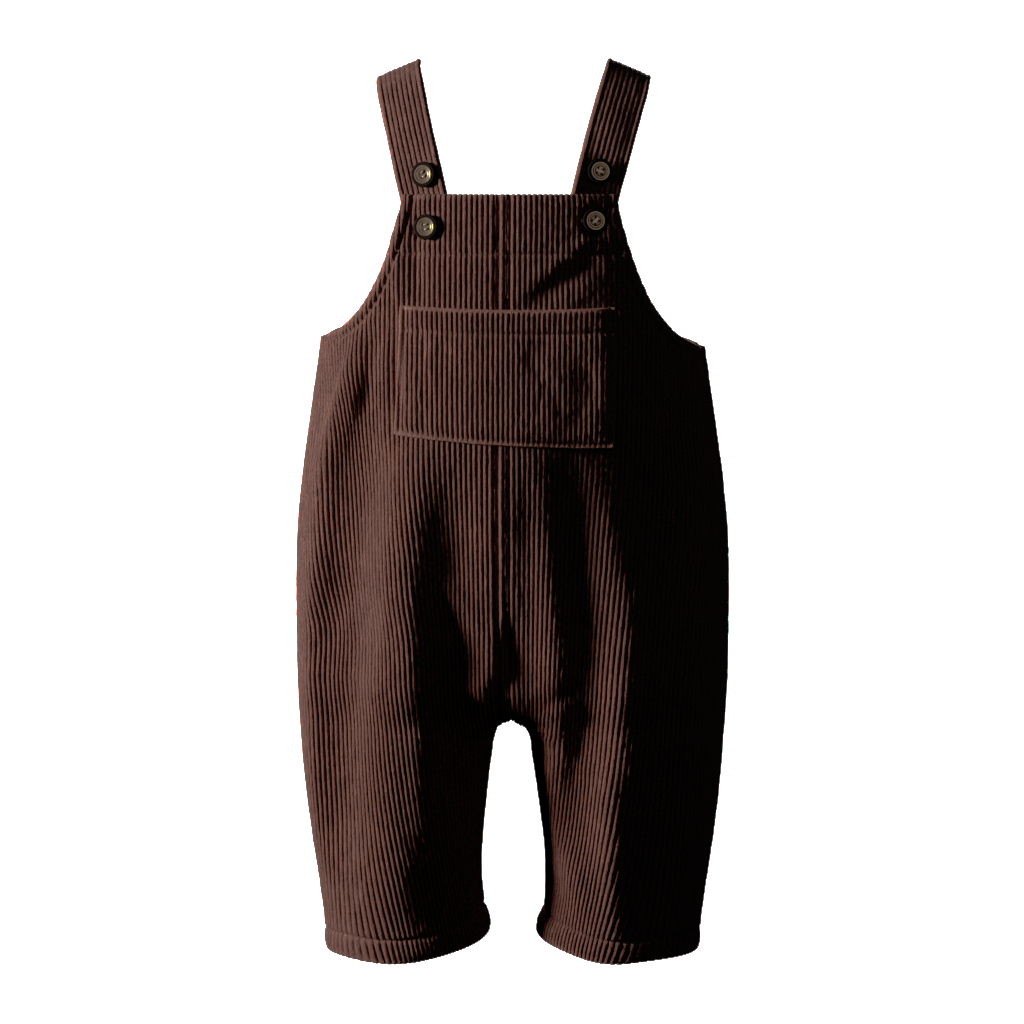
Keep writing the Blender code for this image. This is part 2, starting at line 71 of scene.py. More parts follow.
# ---------------------------------------------------------------- heights, as drops
TOPS = {"front": 83.0, "back": 92.0}
ARMHOLE_ENDS = {"left": 171.5, "right": 177.5}
TUCK_START = 385.0
CROTCH = 418.5
SIDE_AT_CROTCH = 446.0
HEM_INNER = 562.0
HEM_SIDES = {"left": 577.0, "right": 572.8}
LEG_LENGTH = 136.0          # crotch row to hem, on average
HEM_SAG = {"left": (3.8, 0.52, 0.2), "right": (4.2, 0.46, 0.16)}    # depth, place and spread round the leg
FACING = {"front": 36.0, "back": 30.0}      # how deep the facing inside the top is
HEM_TURN = 15.0
HEM_SWELL = (0.35, 4.0)     # height and width
ARMHOLE_TURN = 7.0
ARMHOLE_SWELL = (0.5, 2.2)

ARMHOLE_ROW = 1.25          # spacing of rows beside the armholes
BODY_ROW = 3.0
TUCK_COUNT = 14

ARCH_HEIGHT = 20.0
BRIDGE_POWER = 4
LEG_GAIN_START = 240.0
LEG_MIDDLE = 68.0
LEG_BLEND = (385.0, 530.0)  # drops over which the wales change from following the body to following the leg
BODY_LEAN = {"front": 11.0, "back": 7.0}     # how far the wales close in on the centre by the crotch
BODY_LEAN_DROPS = (230.0, 430.0)
# How much further they twist inward by the hem, and the sides between which the twist fades.
LEG_LEAN_START = 390.0
LEG_LEAN = {
    "front_left": (22.0, 70.0, 125.0),
    "front_right": (25.0, 55.0, 120.0),
    "back_left": (12.0, 50.0, 110.0),
    "back_right": (12.0, 50.0, 110.0),
}


def table(columns, *rows):
    """Rows of numbers under named columns, as a dictionary of arrays."""
    names = columns.split()
    return {name: np.array([row[i] for row in rows], float) for i, name in enumerate(names)}


FORM = table(
    "drop  width  front  leg_front  back  leg_back",
    (83, 106.0, 49.0, 0.0, 46.0, 0.0),
    (120, 114.0, 54.0, 0.0, 50.0, 0.0),
    (150, 117.8, 57.0, 0.0, 52.0, 0.0),
    (177, 120.4, 60.0, 0.0, 54.0, 0.0),
    (198, 123.4, 61.5, 0.0, 55.0, 0.0),
    (230, 128.4, 63.0, 0.0, 57.0, 0.0),
    (262, 133.0, 64.5, 14.0, 59.0, 14.0),
    (295, 136.4, 65.5, 32.0, 61.0, 32.0),
    (328, 137.6, 65.0, 40.0, 62.0, 42.0),
    (360, 137.8, 63.0, 48.0, 61.0, 51.0),
    (394, 137.6, 61.0, 54.0, 60.0, 57.5),
    (427, 136.2, 58.0, 57.0, 58.0, 60.5),
    (453, 134.4, 56.0, 54.5, 56.0, 58.0),
    (478, 132.1, 54.0, 51.0, 54.0, 54.5),
    (505, 128.9, 54.0, 47.5, 54.0, 50.5),
    (532, 125.3, 52.0, 44.0, 52.0, 46.0),
    (560, 122.4, 50.0, 41.0, 50.0, 42.0),
    (580, 122.4, 50.0, 40.0, 50.0, 40.0),
)
INSEAM = table(
    "drop  left  right",
    (418, 12.2, 13.6),
    (441, 13.6, 14.1),
    (457, 15.9, 16.5),
    (478, 18.2, 19.5),
    (503, 20.6, 22.4),
    (530, 21.0, 23.0),
    (547, 18.9, 21.8),
    (562, 14.6, 16.2),
    (580, 12.7, 14.2),
)
ARMHOLE = table(
    "drop  front_left  front_right  back_left  back_right",
    (83, 65.0, 66.8, 66.0, 64.5),
    (92, 66.8, 67.4, 71.5, 65.5),
    (104, 70.0, 70.6, 74.0, 68.0),
    (119, 75.0, 75.3, 77.5, 72.3),
    (138, 83.6, 82.8, 84.5, 79.3),
    (148, 89.5, 87.8, 89.5, 84.5),
    (158, 97.6, 94.7, 96.5, 90.5),
    (164, 104.4, 99.7, 102.5, 94.5),
    (168, 111.0, 103.6, 108.5, 98.3),
    (171.5, 118.5, 108.3, 118.5, 102.0),
    (174.5, 121.0, 113.0, 121.0, 107.0),
    (177.5, 121.5, 119.0, 121.5, 119.0),
)

# Large folds of each panel, the same as in its solid: distances from the centre and drops, top to bottom.
FOLD_COLUMNS = "side1 drop1 side2 drop2 side3 drop3 width height"
FOLDS = {
    "front_left": table(
        FOLD_COLUMNS,
        (34, 230, 35, 345, 37, 526, 18.1, -7.4),
        (54, 205, 75, 305, 51, 413, 24.2, 7.9),
        (82, 172, 105, 307, 115, 600, 20.1, -17.0),
        (81, 150, 120, 212, 134, 380, 10.9, 10.2),
        (128, 286, 132, 361, 134, 544, 9.6, 9.1),
        (53, 388, 50, 482, 41, 542, 11.5, 5.3),
        (50, 296, 13, 354, 12, 433, 8.9, 2.0),
        (0, 263, 0, 345, 7, 440, 19.5, -3.2),
    ),
    "front_right": table(
        FOLD_COLUMNS,
        (34, 211, 52, 293, 40, 532, 17.7, -9.1),
        (52, 209, 63, 352, 60, 600, 16.3, 2.5),
        (48, 157, 92, 379, 97, 600, 26.0, -5.7),
        (126, 150, 87, 256, 126, 380, 15.2, -3.8),
        (97, 426, 122, 495, 52, 508, 14.4, 0.6),
        (29, 394, 24, 503, 51, 553, 11.4, 13.0),
        (10, 226, 15, 342, 19, 452, 9.3, -2.3),
        (0, 263, 0, 345, 7, 440, 19.5, -3.2),
    ),
    "back_left": table(
        FOLD_COLUMNS,
        (40, 280, 44, 350, 34, 430, 13.0, -9.0),
        (84, 215, 76, 340, 70, 500, 15.0, 4.0),
        (104, 230, 110, 330, 104, 470, 12.0, -5.0),
    ),
    "back_right": table(
        FOLD_COLUMNS,
        (44, 270, 42, 345, 32, 425, 12.0, -10.0),
        (80, 210, 74, 345, 68, 500, 15.0, 5.0),
        (100, 235, 108, 340, 102, 465, 13.0, -4.0),
    ),
}
FOLD_FADE = 0.3

# Smaller creases, each along a curve through three points: signed side and drop of each.
CREASES = {
    "front": table(
        FOLD_COLUMNS,
        (52, 110, 34, 122, 4, 146, 5.0, 1.0),           # across the right of the bib
        (56, 118, 36, 132, 0, 160, 7.0, -2.1),
        (-70, 56, -69, 112, -66, 165, 4.5, 1.6),        # left edge of the bib
        (-60, 56, -57, 112, -53, 165, 4.5, -1.8),
        (-91, 163, -108, 219, -126, 283, 5.5, 2.8),     # from the left armhole down to the side
        (-83, 160, -86, 190, -93, 228, 6.0, -3.0),
        (-75, 162, -75, 205, -76, 250, 6.0, 1.8),       # beside the pocket
        (94, 170, 99, 186, 100, 204, 5.0, -1.3),
        (-6, 378, -8, 398, -12, 414, 6.0, -3.5),        # dimple at the crotch
        (-12, 404, -26, 396, -44, 392, 5.0, -1.5),      # drawn to the crotch
        (14, 404, 30, 394, 46, 378, 6.0, -1.6),
        (-14, 418, -32, 424, -52, 440, 7.0, 1.3),
        (16, 418, 36, 430, 56, 452, 7.0, 1.5),
        (-92, 330, -104, 372, -112, 420, 9.0, 1.8),     # above the left leg's side
        (-44, 470, -52, 510, -50, 560, 10.0, -1.8),
        (63, 425, 65, 495, 66, 572, 9.0, 2.4),          # down the right leg
        (86, 430, 88, 500, 88, 572, 11.0, -1.2),
        (77, 300, 75, 370, 68, 440, 10.0, 2.0),         # ridge beside the right panel's deep fold
        (64, 146, 65, 190, 65, 240, 12.0, 3.2),         # under the pocket's right edge
        (-5, 336, -9, 362, -13, 390, 5.0, 1.4),         # above the crotch
        (2, 338, 4, 362, 8, 390, 5.0, -1.6),
    ),
    "back": table(
        FOLD_COLUMNS,
        (-56, 112, -34, 124, -12, 130, 7.0, -1.8),
        (58, 116, 34, 128, 10, 138, 7.0, -1.6),
        (-96, 176, -76, 196, -50, 206, 7.0, 1.5),
        (98, 178, 80, 204, 56, 220, 8.0, 1.6),
        (-14, 404, -36, 388, -60, 380, 7.0, -2.0),
        (14, 402, 38, 384, 58, 370, 7.0, -2.2),
        (-18, 428, -40, 442, -62, 468, 8.0, 1.6),
        (18, 430, 38, 448, 56, 478, 8.0, 1.5),
        (-70, 470, -64, 515, -66, 560, 10.0, -2.0),
        (76, 455, 70, 505, 74, 556, 10.0, -1.8),
        (-6, 200, -22, 240, -30, 280, 10.0, 1.4),
    ),
}
CREASE_POINTS = 12

# Places where the wales of a front panel are pushed towards the centre by an amount.
LEAN_SPOTS = {
    "front_left": table("side drop width height amount", (112, 222, 16, 36, 9.0)),
    "front_right": table("side drop width height amount", (112, 225, 16, 36, 6.0)),
}

# ---------------------------------------------------------------- seams
SEAM_DIP = 1.1
SEAM_WIDTH = 1.0
SEAM_PRESS = 0.6            # how much a seam presses the wales
CENTRE_END = (1.85, 2.0)    # v where the centre seams give way to the inseams
LAP_WIDTH = 6.6             # the left panel's edge laps over the right one at both centre seams
LAP_HEIGHT = 0.2
LAP_SHADOW = 0.7            # how far the cloth under the lap is pressed down
LAP_GROOVE = (1.3, 0.7)     # depth and width of the groove at its edge
LAP_MOTTLE = (0.1, 0.25, 1.1, (3.7, 8.1))   # press, its waver, and across and along which lengths

# ---------------------------------------------------------------- stitches
STITCH_PITCH = 3.1
STITCH_LENGTH = 2.4
THREAD_RADIUS = 0.27
THREAD_LIFT = -0.25
STITCH_RINGS = (            # share of the way, thickness and lift of a stitch's rings, in radii
    (0.0, 0.3, -1.2), (0.12, 0.85, -0.35), (0.32, 1.0, 0.1), (0.68, 1.0, 0.1), (0.88, 0.85, -0.35),
    (1.0, 0.3, -1.2),
)
GROOVE_DEPTH = 0.65         # stitches draw the cloth in by this much
GROOVE_WIDTH = 1.1
STITCH_PRESS = (0.75, 1.3)  # how much they press the wales, and how widely, in groove widths
PRESSED_PILE = 0.8          # what full pressure takes from a wale's height, and how much painted shade it puts in a wale's tone
PRESSED_SHADE = 0.45

# ---------------------------------------------------------------- pocket
# The pocket's signed sides, and its drops at the left, the middle and the right, at top and bottom.
POCKET = table(
    "share  left  right  left_drop  middle_drop  right_drop",
    (0, -65.5, 64.4, 150.5, 152.6, 151.4),
    (1, -69.0, 64.2, 229.5, 234.6, 236.8),
)
POCKET_LIFT = 1.6
POCKET_GAPE = 5.5           # how much further its right side stands off
GAPE_SIDES = (16.0, 84.0)
POCKET_PITCH = 3.05         # its wales in front view, where its curve brings them closer
EDGE_WELT = 0.9             # how wide its turned edge is free of wales
POCKET_HEM = 14.5
POCKET_SEAM = 2.0           # from the turned edge to the stitches
POCKET_ROW = 1.6
POCKET_STRAY = 1.2          # how much its wales stray, against a panel's
POCKET_SEED = 77
POCKET_RISE = 0.7           # from its lifted inside to its grooves, along its seams
POCKET_BULGE = 1.3          # how far it stands out inside its seams
POCKET_MOUTH = 1.6          # how far its mouth gapes besides
POCKET_WALL = 1.3
POCKET_TURNING = 0.9
POCKET_FILL = 0.98          # its area as a share of its width times its height
POCKET_CREASES = table(
    FOLD_COLUMNS,
    (-58, 158, -50, 172, -52, 190, 3.0, -0.9),
    (-61, 186, -54, 200, -58, 216, 3.0, 0.8),
    (-60, 206, -50, 218, -56, 231, 2.6, -0.8),
    (-44, 168, -46, 184, -42, 204, 3.4, 0.6),
    (40, 176, 44, 200, 38, 231, 6.0, -0.8),
    (33, 182, 28, 205, 26, 231, 6.0, 0.6),
    (24, 166, 18, 176, 8, 184, 7.0, -0.7),
    (-42, 170, -36, 178, -30, 184, 4.0, -0.6),
    (6, 180, 16, 187, 22, 196, 4.5, -0.7),
    (20, 192, 28, 204, 30, 224, 5.0, -0.8),
    (44, 184, 50, 196, 46, 214, 4.0, -0.8),
    (62, 160, 61, 180, 62, 200, 2.5, 0.5),
    (62, 196, 61, 214, 62, 230, 2.5, 0.5),
)

# ---------------------------------------------------------------- straps
STRAP_WIDTH = 28.6
STRAP_PILE = 0.75           # how high its wales stand, as a share of the others
STRAP_ROW = 2.4
STRAP_SEEDS = {"left": 31, "right": 57}
STRAP = table(
    "side  drop  share  tilt  left  right",
    (42.8, 124.0, -0.932, 13.5, 0.0, 0.3),
    (48.6, 100.0, -0.928, 13.5, 0.0, 0.3),
    (52.7, 83.0, -0.918, 13.5, 0.0, 0.3),
    (57.8, 62.0, -0.85, 13.5, 0.0, 0.4),
    (62.9, 40.0, -0.745, 14.0, 0.0, 1.0),
    (67.3, 20.5, -0.57, 17.0, 0.0, 1.9),
    (69.7, 9.5, -0.345, 21.0, 0.0, 2.4),
    (70.6, 6.0, 0.0, 24.0, 0.0, 2.4),
    (69.9, 9.5, 0.37, 21.0, 2.6, 2.0),
    (67.4, 20.5, 0.60, 16.0, 4.2, 1.4),
    (62.6, 40.0, 0.78, 10.0, 5.5, 0.7),
    (56.8, 65.0, 0.86, 8.0, 6.0, 0.3),
    (51.0, 92.0, 0.905, 8.0, 6.3, 0.0),
    (45.6, 120.0, 0.92, 8.0, 6.4, 0.0),
)
# Degrees by which the free front of a strap faces further left, and the drops where that fades.
STRAP_TWIST = {"left": 0.0, "right": 11.0}
TWIST_DROPS = (50.0, 84.0)
CREST_PILE = 0.45           # how high the wales stand over the shoulder, as a share of the strap's
CREST_DROPS = (8.0, 22.0)

# ---------------------------------------------------------------- buttons
BUTTON_SEGMENTS = 72
BUTTON_HOLES = 4
HOLE_RADIUS = 0.85
HOLE_CIRCLE = 2.0
BUTTON_LIFT = 1.1           # from the grooves to the button
BUTTON_PRESS = 0.7          # how far the cloth under it is pressed down
PRESS_REACH = (7.0, 12.0)
PRESS_PILE = 0.5            # what it takes from the height of the wales
THREAD_TOP = 1.5            # where the thread lies on the button
BUTTON_PROFILE = table(
    "radius height",
    (0.0, 0.0), (5.4, 0.0), (6.4, 0.12), (7.3, 0.55), (7.8, 1.0), (7.9, 1.4), (7.75, 1.75), (7.3, 2.05),
    (6.8, 2.15), (6.4, 2.1), (6.1, 1.95), (5.9, 2.15), (5.5, 2.3), (5.0, 2.3), (4.6, 2.15), (4.2, 1.9),
    (3.9, 1.8), (3.6, 1.9), (3.3, 1.78), (2.8, 1.55), (2.2, 1.45), (1.2, 1.4), (0.0, 1.4),
)
BUTTON_RIM = 5.7            # outside this radius a button is dark and dull, deepened to nearly black as painted shade round the button
STRAP_BUTTONS = {"left": (72.6, -4.2), "right": (69.8, -1.1)}     # drop, and distance from the strap's middle
BIB_BUTTONS = {"left": (49.3, 103.0), "right": (52.5, 99.1)}     # side and drop
BUTTON_TURNS = {"strap_left": 28, "strap_right": -20, "bib_left": 8, "bib_right": 40}
BUTTONHOLE_LENGTH = 16.4
BUTTONHOLE_STITCH = 0.55

# ---------------------------------------------------------------- colours, linear
PILE_TOP = (0.185, 0.093, 0.07, 1.0)
PILE_SIDE = (0.17, 0.085, 0.064, 1.0)
PILE_GROOVE = (0.14, 0.068, 0.051, 1.0)
INSIDE = (0.085, 0.04, 0.031, 1.0)
THREAD = (0.05, 0.022, 0.017, 1.0)
# Pale button thread, its paleness partly a painted glint on the thread.
BUTTON_THREAD = (0.33, 0.29, 0.25, 1.0)
HORN_LIGHT = (0.165, 0.146, 0.09, 1.0)
HORN_DARK = (0.055, 0.045, 0.026, 1.0)
# The rim's own dark brown, made nearly black to paint in the shade round each button.
HORN_RIM = (0.005, 0.0035, 0.0025, 1.0)

# ---------------------------------------------------------------- camera and light
PHOTO_AZIMUTH = 3.0
PHOTO_ELEVATION = 9.0
CAMERA_DISTANCE = 1450.0
CAMERA_TARGET = (0.0, 0.0, -285.2)
PIXEL = 0.64                # millimetres at the target
PHOTO_WIDTH = 1024
SENSOR = 36.0
LIGHTS = (                  # azimuth from the front, elevation, distance, size, power, colour
    ("key", -77.0, 13.0, 1900.0, 420.0, 150.0, (1.0, 0.97, 0.94)),
    ("back", 188.0, 25.0, 2100.0, 900.0, 45.0, (1.0, 0.98, 0.96)),
    ("gleam", 25.0, 15.0, 1700.0, 500.0, 42.0, (1.0, 0.99, 0.97)),
)
WORLD_STRENGTH = 0.02
PALE_STRENGTH = 1.6
STAGE_RADIUS = 6000.0
FLOOR_DROP = 1500.0
BACKDROP_HEIGHT = 9000.0
# The picture's tones, each as light and what is shown: both ends first, then the stops between.
RED_CURVE = (
    (0.0, 0.0), (1.0, 1.0), (0.006, 0.0002), (0.015, 0.0045), (0.03, 0.017), (0.064, 0.043), (0.13, 0.083),
    (0.27, 0.13), (0.47, 0.183), (0.6, 0.21), (0.78, 0.32),
)
COOL_CURVE = (
    (0.0, 0.0), (1.0, 1.0), (0.006, 0.0004), (0.015, 0.0035), (0.03, 0.0125), (0.064, 0.034), (0.13, 0.062),
    (0.27, 0.102), (0.47, 0.165), (0.6, 0.23), (0.78, 0.40),
)


def smooth(source, column, at, key="drop"):
    """A smooth curve through one column of a table: cubic Hermite pieces."""
    keys, values = source[key], source[column]
    slopes = np.gradient(values, keys)
    at = np.clip(at, keys[0], keys[-1])
    i = np.clip(np.searchsorted(keys, at, side="right") - 1, 0, len(keys) - 2)
    span = keys[i + 1] - keys[i]
    s = (at - keys[i]) / span
    start = values[i] * (1 + 2 * s) * (1 - s) ** 2 + slopes[i] * span * s * (1 - s) ** 2
    end = values[i + 1] * s ** 2 * (3 - 2 * s) - slopes[i + 1] * span * s ** 2 * (1 - s)
    return start + end


def ease(low, high, x):
    """0 below low, 1 above high, smooth between."""
    s = np.clip((x - low) / (high - low), 0.0, 1.0)
    return s * s * (3 - 2 * s)


def unit(vectors):
    return vectors / np.linalg.norm(vectors, axis=-1, keepdims=True)


def chance(index, seed):
    """A number from 0 to 1 for each whole number, the same in each run."""
    x = np.sin(np.asarray(index) * 12.9898 + seed * 78.233) * 43758.5453
    return x - np.floor(x)


def waver(index, along, lengths, seed):
    """Smooth irregular values, about -1 to 1, that differ from one wale to the next."""
    total = 0.0
    for i, length in enumerate(lengths):
        stretch = 0.75 + 0.5 * chance(index, seed + i + 0.5)
        total = total + np.sin(along * 2 * math.pi * stretch / length + 2 * math.pi * chance(index, seed + i))
    return total / len(lengths)


# ---------------------------------------------------------------- the hollow form
def inner_side(hand, drop):
    """How far the inside of a leg stands from the centre: an arch at the crotch, then the inseam."""
    below = np.maximum(drop - CROTCH, 0.0)
    rise = np.minimum(below / ARCH_HEIGHT, 1.0)
    arch = np.sqrt(rise * (2 - rise))
    return arch * smooth(INSEAM, hand, np.maximum(drop, CROTCH))


def fold_height(name, side, drop):
    """The sum of a panel's large folds at a point of its front view."""
    folds = FOLDS[name]
    total = np.zeros_like(side)
    for i in range(len(folds["width"])):
        first, last = folds["drop1"][i], folds["drop3"][i]
        along = (drop - first) / (last - first)
        early = folds["side1"][i] + (folds["side2"][i] - folds["side1"][i]) * 2 * along
        late = folds["side2"][i] + (folds["side3"][i] - folds["side2"][i]) * (2 * along - 1)
        turn = ease(0.3, 0.7, along)
        middle = early * (1 - turn) + late * turn
        fade = ease(0.0, FOLD_FADE, along) * ease(0.0, FOLD_FADE, 1 - along)
        across = (side - middle) / folds["width"][i]
        total += folds["height"][i] * fade * np.exp(-across ** 2)
    return total


def depth(name, side, drop):
    """How far a panel's surface stands from the plane of the side seams."""
    face, hand = name.split("_")
    width = smooth(FORM, "width", drop)
    inner = inner_side(hand, drop)
    tuck = np.clip((drop - TUCK_START) / (CROTCH - TUCK_START), 0.0, 1.0)
    bridge = smooth(FORM, face, drop) * np.sqrt(1 - tuck ** 2)
    bridge = bridge * np.sqrt(np.maximum(1 - (side / width) ** 2, 0.0))
    middle, half = (width + inner) / 2, (width - inner) / 2
    leg = np.maximum(smooth(FORM, "leg_" + face, drop), 0.0) * ease(LEG_GAIN_START, LEG_GAIN_START + 20, drop)
    leg = leg * np.sqrt(np.maximum(1 - ((side - middle) / half) ** 2, 0.0))
    plain = (bridge ** BRIDGE_POWER + leg ** BRIDGE_POWER) ** (1 / BRIDGE_POWER)
    return plain * (1 + fold_height(name, side, drop) / smooth(FORM, face, drop))


def row_shape(name, v):
    """A row's drop at the centre line or inseam, its drop at the side, and its share of leg.

    v runs from 0 at the top to 1 at the start of the crotch curve, 2 at the crotch and 3 at the hem.
    """
    face, hand = name.split("_")
    if v < 1:
        drop = TOPS[face] + (TUCK_START - TOPS[face]) * v
        return drop, drop, 0.0
    if v < 2:
        turn = (v - 1) * math.pi / 2
        inner = TUCK_START + (CROTCH - TUCK_START) * math.sin(turn)
        return inner, TUCK_START + (SIDE_AT_CROTCH - TUCK_START) * (v - 1), 1 - math.cos(turn)
    share = v - 2
    side_drop = SIDE_AT_CROTCH + (HEM_SIDES[hand] - SIDE_AT_CROTCH) * share
    return CROTCH + (HEM_INNER - CROTCH) * share, side_drop, 1.0


def panel_points(name, t, v):
    """Points of a panel's middle line, t from 0 at the centre seam or inseam to 1 at the side seam."""
    face, hand = name.split("_")
    inner_drop, side_drop, leg_share = row_shape(name, v)
    leg = max(v - 2.0, 0.0)
    sag, place, spread = HEM_SAG[hand]
    drop = inner_drop + (side_drop - inner_drop) * t ** (2.0 - 1.2 * leg)
    drop = drop + sag * leg ** 2 * np.exp(-((t - place) / spread) ** 2)
    width, inner = smooth(FORM, "width", drop), inner_side(hand, drop)
    on_body = width * np.sin(t * math.pi / 2)
    on_leg = (width + inner) / 2 - (width - inner) / 2 * np.cos(t * math.pi)
    side = on_body * (1 - leg_share) + on_leg * leg_share
    return np.stack([SIGNS[hand] * side, TOWARD[face] * depth(name, side, drop), -drop], axis=1)


def directions(name, t, v):
    """Unit vectors of a panel: outward, kept in the plane of each seam along that seam, and downward."""
    face, hand = name.split("_")
    step = 1e-3
    low_t, high_t = np.maximum(t - step, 0.0), np.minimum(t + step, 1.0)
    low_v, high_v = max(v - step, 0.0), min(v + step, 3.0)
    across = panel_points(name, high_t, v) - panel_points(name, low_t, v)
    down = panel_points(name, t, high_v) - panel_points(name, t, low_v)
    normal = np.cross(across, down) * SIGNS[hand] * TOWARD[face]
    if v <= 2:
        normal[t <= 0.0, 0] = 0.0
    if v >= 2:
        normal[t <= 0.0, 1] = 0.0
    normal[t >= 1.0, 1] = 0.0
    normal = unit(normal)
    return normal, unit(down - normal * np.sum(down * normal, axis=1)[:, None])


def row_end(name, v, inset):
    """t where a row ends: at the side seam, or at the armhole, inset by some millimetres."""
    drop = row_shape(name, v)[0]
    above = drop - 0.6 * inset
    if v >= 1 or above >= ARMHOLE_ENDS[name.split("_")[1]]:
        return 1.0
    side = smooth(ARMHOLE, name, above) - 0.8 * inset
    return math.asin(min(side / smooth(FORM, "width", drop), 1.0)) / (math.pi / 2)


def path_lengths(points):
    """How far along a path each of its points lies."""
    steps = np.linalg.norm(np.diff(points, axis=0), axis=1)
    return np.concatenate([[0.0], np.cumsum(steps)])


def row_lengths(name, t, v):
    return path_lengths(panel_points(name, t, v))


def row_profile(name, t, v):
    """One row's distances from the centre in front view, and along the cloth from LEG_MIDDLE."""
    side, length = np.abs(panel_points(name, t, v)[:, 0]), row_lengths(name, t, v)
    return side, length - np.interp(LEG_MIDDLE, side, length)


def wale_lengths(name, t, v):
    """Where points of one row lie across the wales, which run smoothly from the body down each leg."""
    if v <= 1:
        return row_lengths(name, t, v)
    fine = np.linspace(0.0, 1.0, 300)
    side, on_leg = row_profile(name, t, v)
    body_side, body_length = row_profile(name, fine, 1.0)
    on_body = np.interp(side, body_side, body_length)
    if v < 2:
        leg_side, leg_length = row_profile(name, fine, 2.0)
        on_leg = np.interp(side, np.maximum.accumulate(leg_side), leg_length)
    turn = ease(*LEG_BLEND, -panel_points(name, t, v)[:, 2])
    return on_body * (1 - turn) + on_leg * turn - body_length[0]


def lean(name, t, v):
    """How far the wales stray towards the centre at points of one row."""
    face = name.split("_")[0]
    points = panel_points(name, t, v)
    side, drop = np.abs(points[:, 0]), -points[:, 2]
    total = BODY_LEAN[face] * ease(*BODY_LEAN_DROPS, drop) * ease(0.0, 65.0, side)
    amount, full, faded = LEG_LEAN[name]
    below = np.maximum(drop - LEG_LEAN_START, 0.0) / (HEM_INNER - LEG_LEAN_START)
    total = total + amount * below ** 1.6 * (1 - 0.7 * ease(full, faded, side))
    if name in LEAN_SPOTS:
        for spot_side, spot_drop, width, height, push in zip(*LEAN_SPOTS[name].values()):
            away = ((side - spot_side) / width) ** 2 + ((drop - spot_drop) / height) ** 2
            total = total + push * np.exp(-away)
    return total


def face_points(face, side, drop):
    """Points of the plain front or back at signed sides, above the crotch curve."""
    side, drop = np.broadcast_arrays(np.asarray(side, float), np.asarray(drop, float))
    left, right = (depth(name, np.abs(side), drop) for name in (face + "_left", face + "_right"))
    return np.stack([side, TOWARD[face] * np.where(side < 0, left, right), -drop], axis=-1)


def front_points(side, drop):
    return face_points("front", side, drop)


def back_points(side, drop):
    return face_points("back", side, drop)


def face_normals(points_at, side, drop):
    """Outward unit normals of a surface given by a function of signed side and drop."""
    step = 0.25
    across = points_at(side + step, drop) - points_at(side - step, drop)
    down = points_at(side, drop + step) - points_at(side, drop - step)
    return unit(np.cross(down, across))


# ---------------------------------------------------------------- paths on the cloth
def path_distance(points, path):
    """Each point's distance from a path of points, and its share of the way along it."""
    near = np.full(len(points), 1e6)
    share = np.zeros(len(points))
    close = np.all((points > path.min(axis=0) - 30) & (points < path.max(axis=0) + 30), axis=1)
    spots = points[close]
    best, where = near[close], share[close]
    for i, (start, end) in enumerate(zip(path, path[1:])):
        along = end - start
        s = np.clip((spots - start) @ along / (along @ along), 0.0, 1.0)
        gap = np.linalg.norm(spots - start - s[:, None] * along, axis=1)
        nearer = gap < best
        best[nearer] = gap[nearer]
        where[nearer] = ((i + s) / (len(path) - 1))[nearer]
    near[close], share[close] = best, where
    return near, share


def crease_paths(creases, points_at):
    """A smooth path on a surface for each row of a table of creases."""
    s = np.linspace(0.0, 1.0, CREASE_POINTS)
    for i in range(len(creases["width"])):
        curve = []
        for column in ("side", "drop"):
            a, b, c = (creases[column + end][i] for end in "123")
            middle = 2 * b - (a + c) / 2
            curve.append(a * (1 - s) ** 2 + 2 * middle * s * (1 - s) + c * s ** 2)
        yield points_at(*curve), creases["width"][i], creases["height"][i]


def crease_relief(points, paths):
    """How far the creases move each point in or out."""
    total = np.zeros(len(points))
    for path, width, height in paths:
        gap, share = path_distance(points, path)
        fade = ease(0.0, 0.3, share) * ease(0.0, 0.3, 1 - share)
        total += height * fade * np.exp(-(gap / width) ** 2)
    return total


BODY_CREASES = [*crease_paths(CREASES["front"], front_points), *crease_paths(CREASES["back"], back_points)]


def on_panel(name, stops):
    """Points and outward normals of a panel at a list of (t, v)."""
    points = np.array([panel_points(name, np.array([t]), v)[0] for t, v in stops])
    normals = np.array([directions(name, np.array([t]), v)[0][0] for t, v in stops])
    return points, normals


def seam_lines(name):
    """The lines of stitching on a panel, each as points and normals."""
    face, hand = name.split("_")
    top = TOPS[face]

    def body(drop):
        return (drop - top) / (TUCK_START - top)

    facing = body(top + FACING[face])
    end = row_end(name, facing, ARMHOLE_TURN)
    yield on_panel(name, [(t, facing) for t in np.linspace(0.0, end, 40)])
    last = ARMHOLE_ENDS[hand] + 0.6 * ARMHOLE_TURN - 0.2
    beside = [body(drop) for drop in np.linspace(top + EDGE, last, 60)]
    yield on_panel(name, [(row_end(name, v, ARMHOLE_TURN), v) for v in beside])
    hem = 3.0 - HEM_TURN / LEG_LENGTH
    yield on_panel(name, [(t, hem) for t in np.linspace(0.0, 1.0, 80)])
    if hand == "left":
        stops = []
        for v in np.linspace(body(top + EDGE), 1.8, 90):
            fine = np.linspace(0.0, 0.2, 30)
            stops.append((np.interp(LAP_WIDTH - 0.6, row_lengths(name, fine, v), fine), v))
        yield on_panel(name, stops)


# ---------------------------------------------------------------- meshes from rows
def wale_samples(low, high):
    """Both ends, and between them the stops of each wale."""
    first, last = math.floor(low / WALE_PITCH) - 1, math.ceil(high / WALE_PITCH) + 1
    inside = ((np.arange(first, last)[:, None] - 0.5 + WALE_STOPS) * WALE_PITCH).ravel()
    inside = inside[(inside > low + END_GAP) & (inside < high - END_GAP)]
    return np.concatenate([[low], inside, [high]])


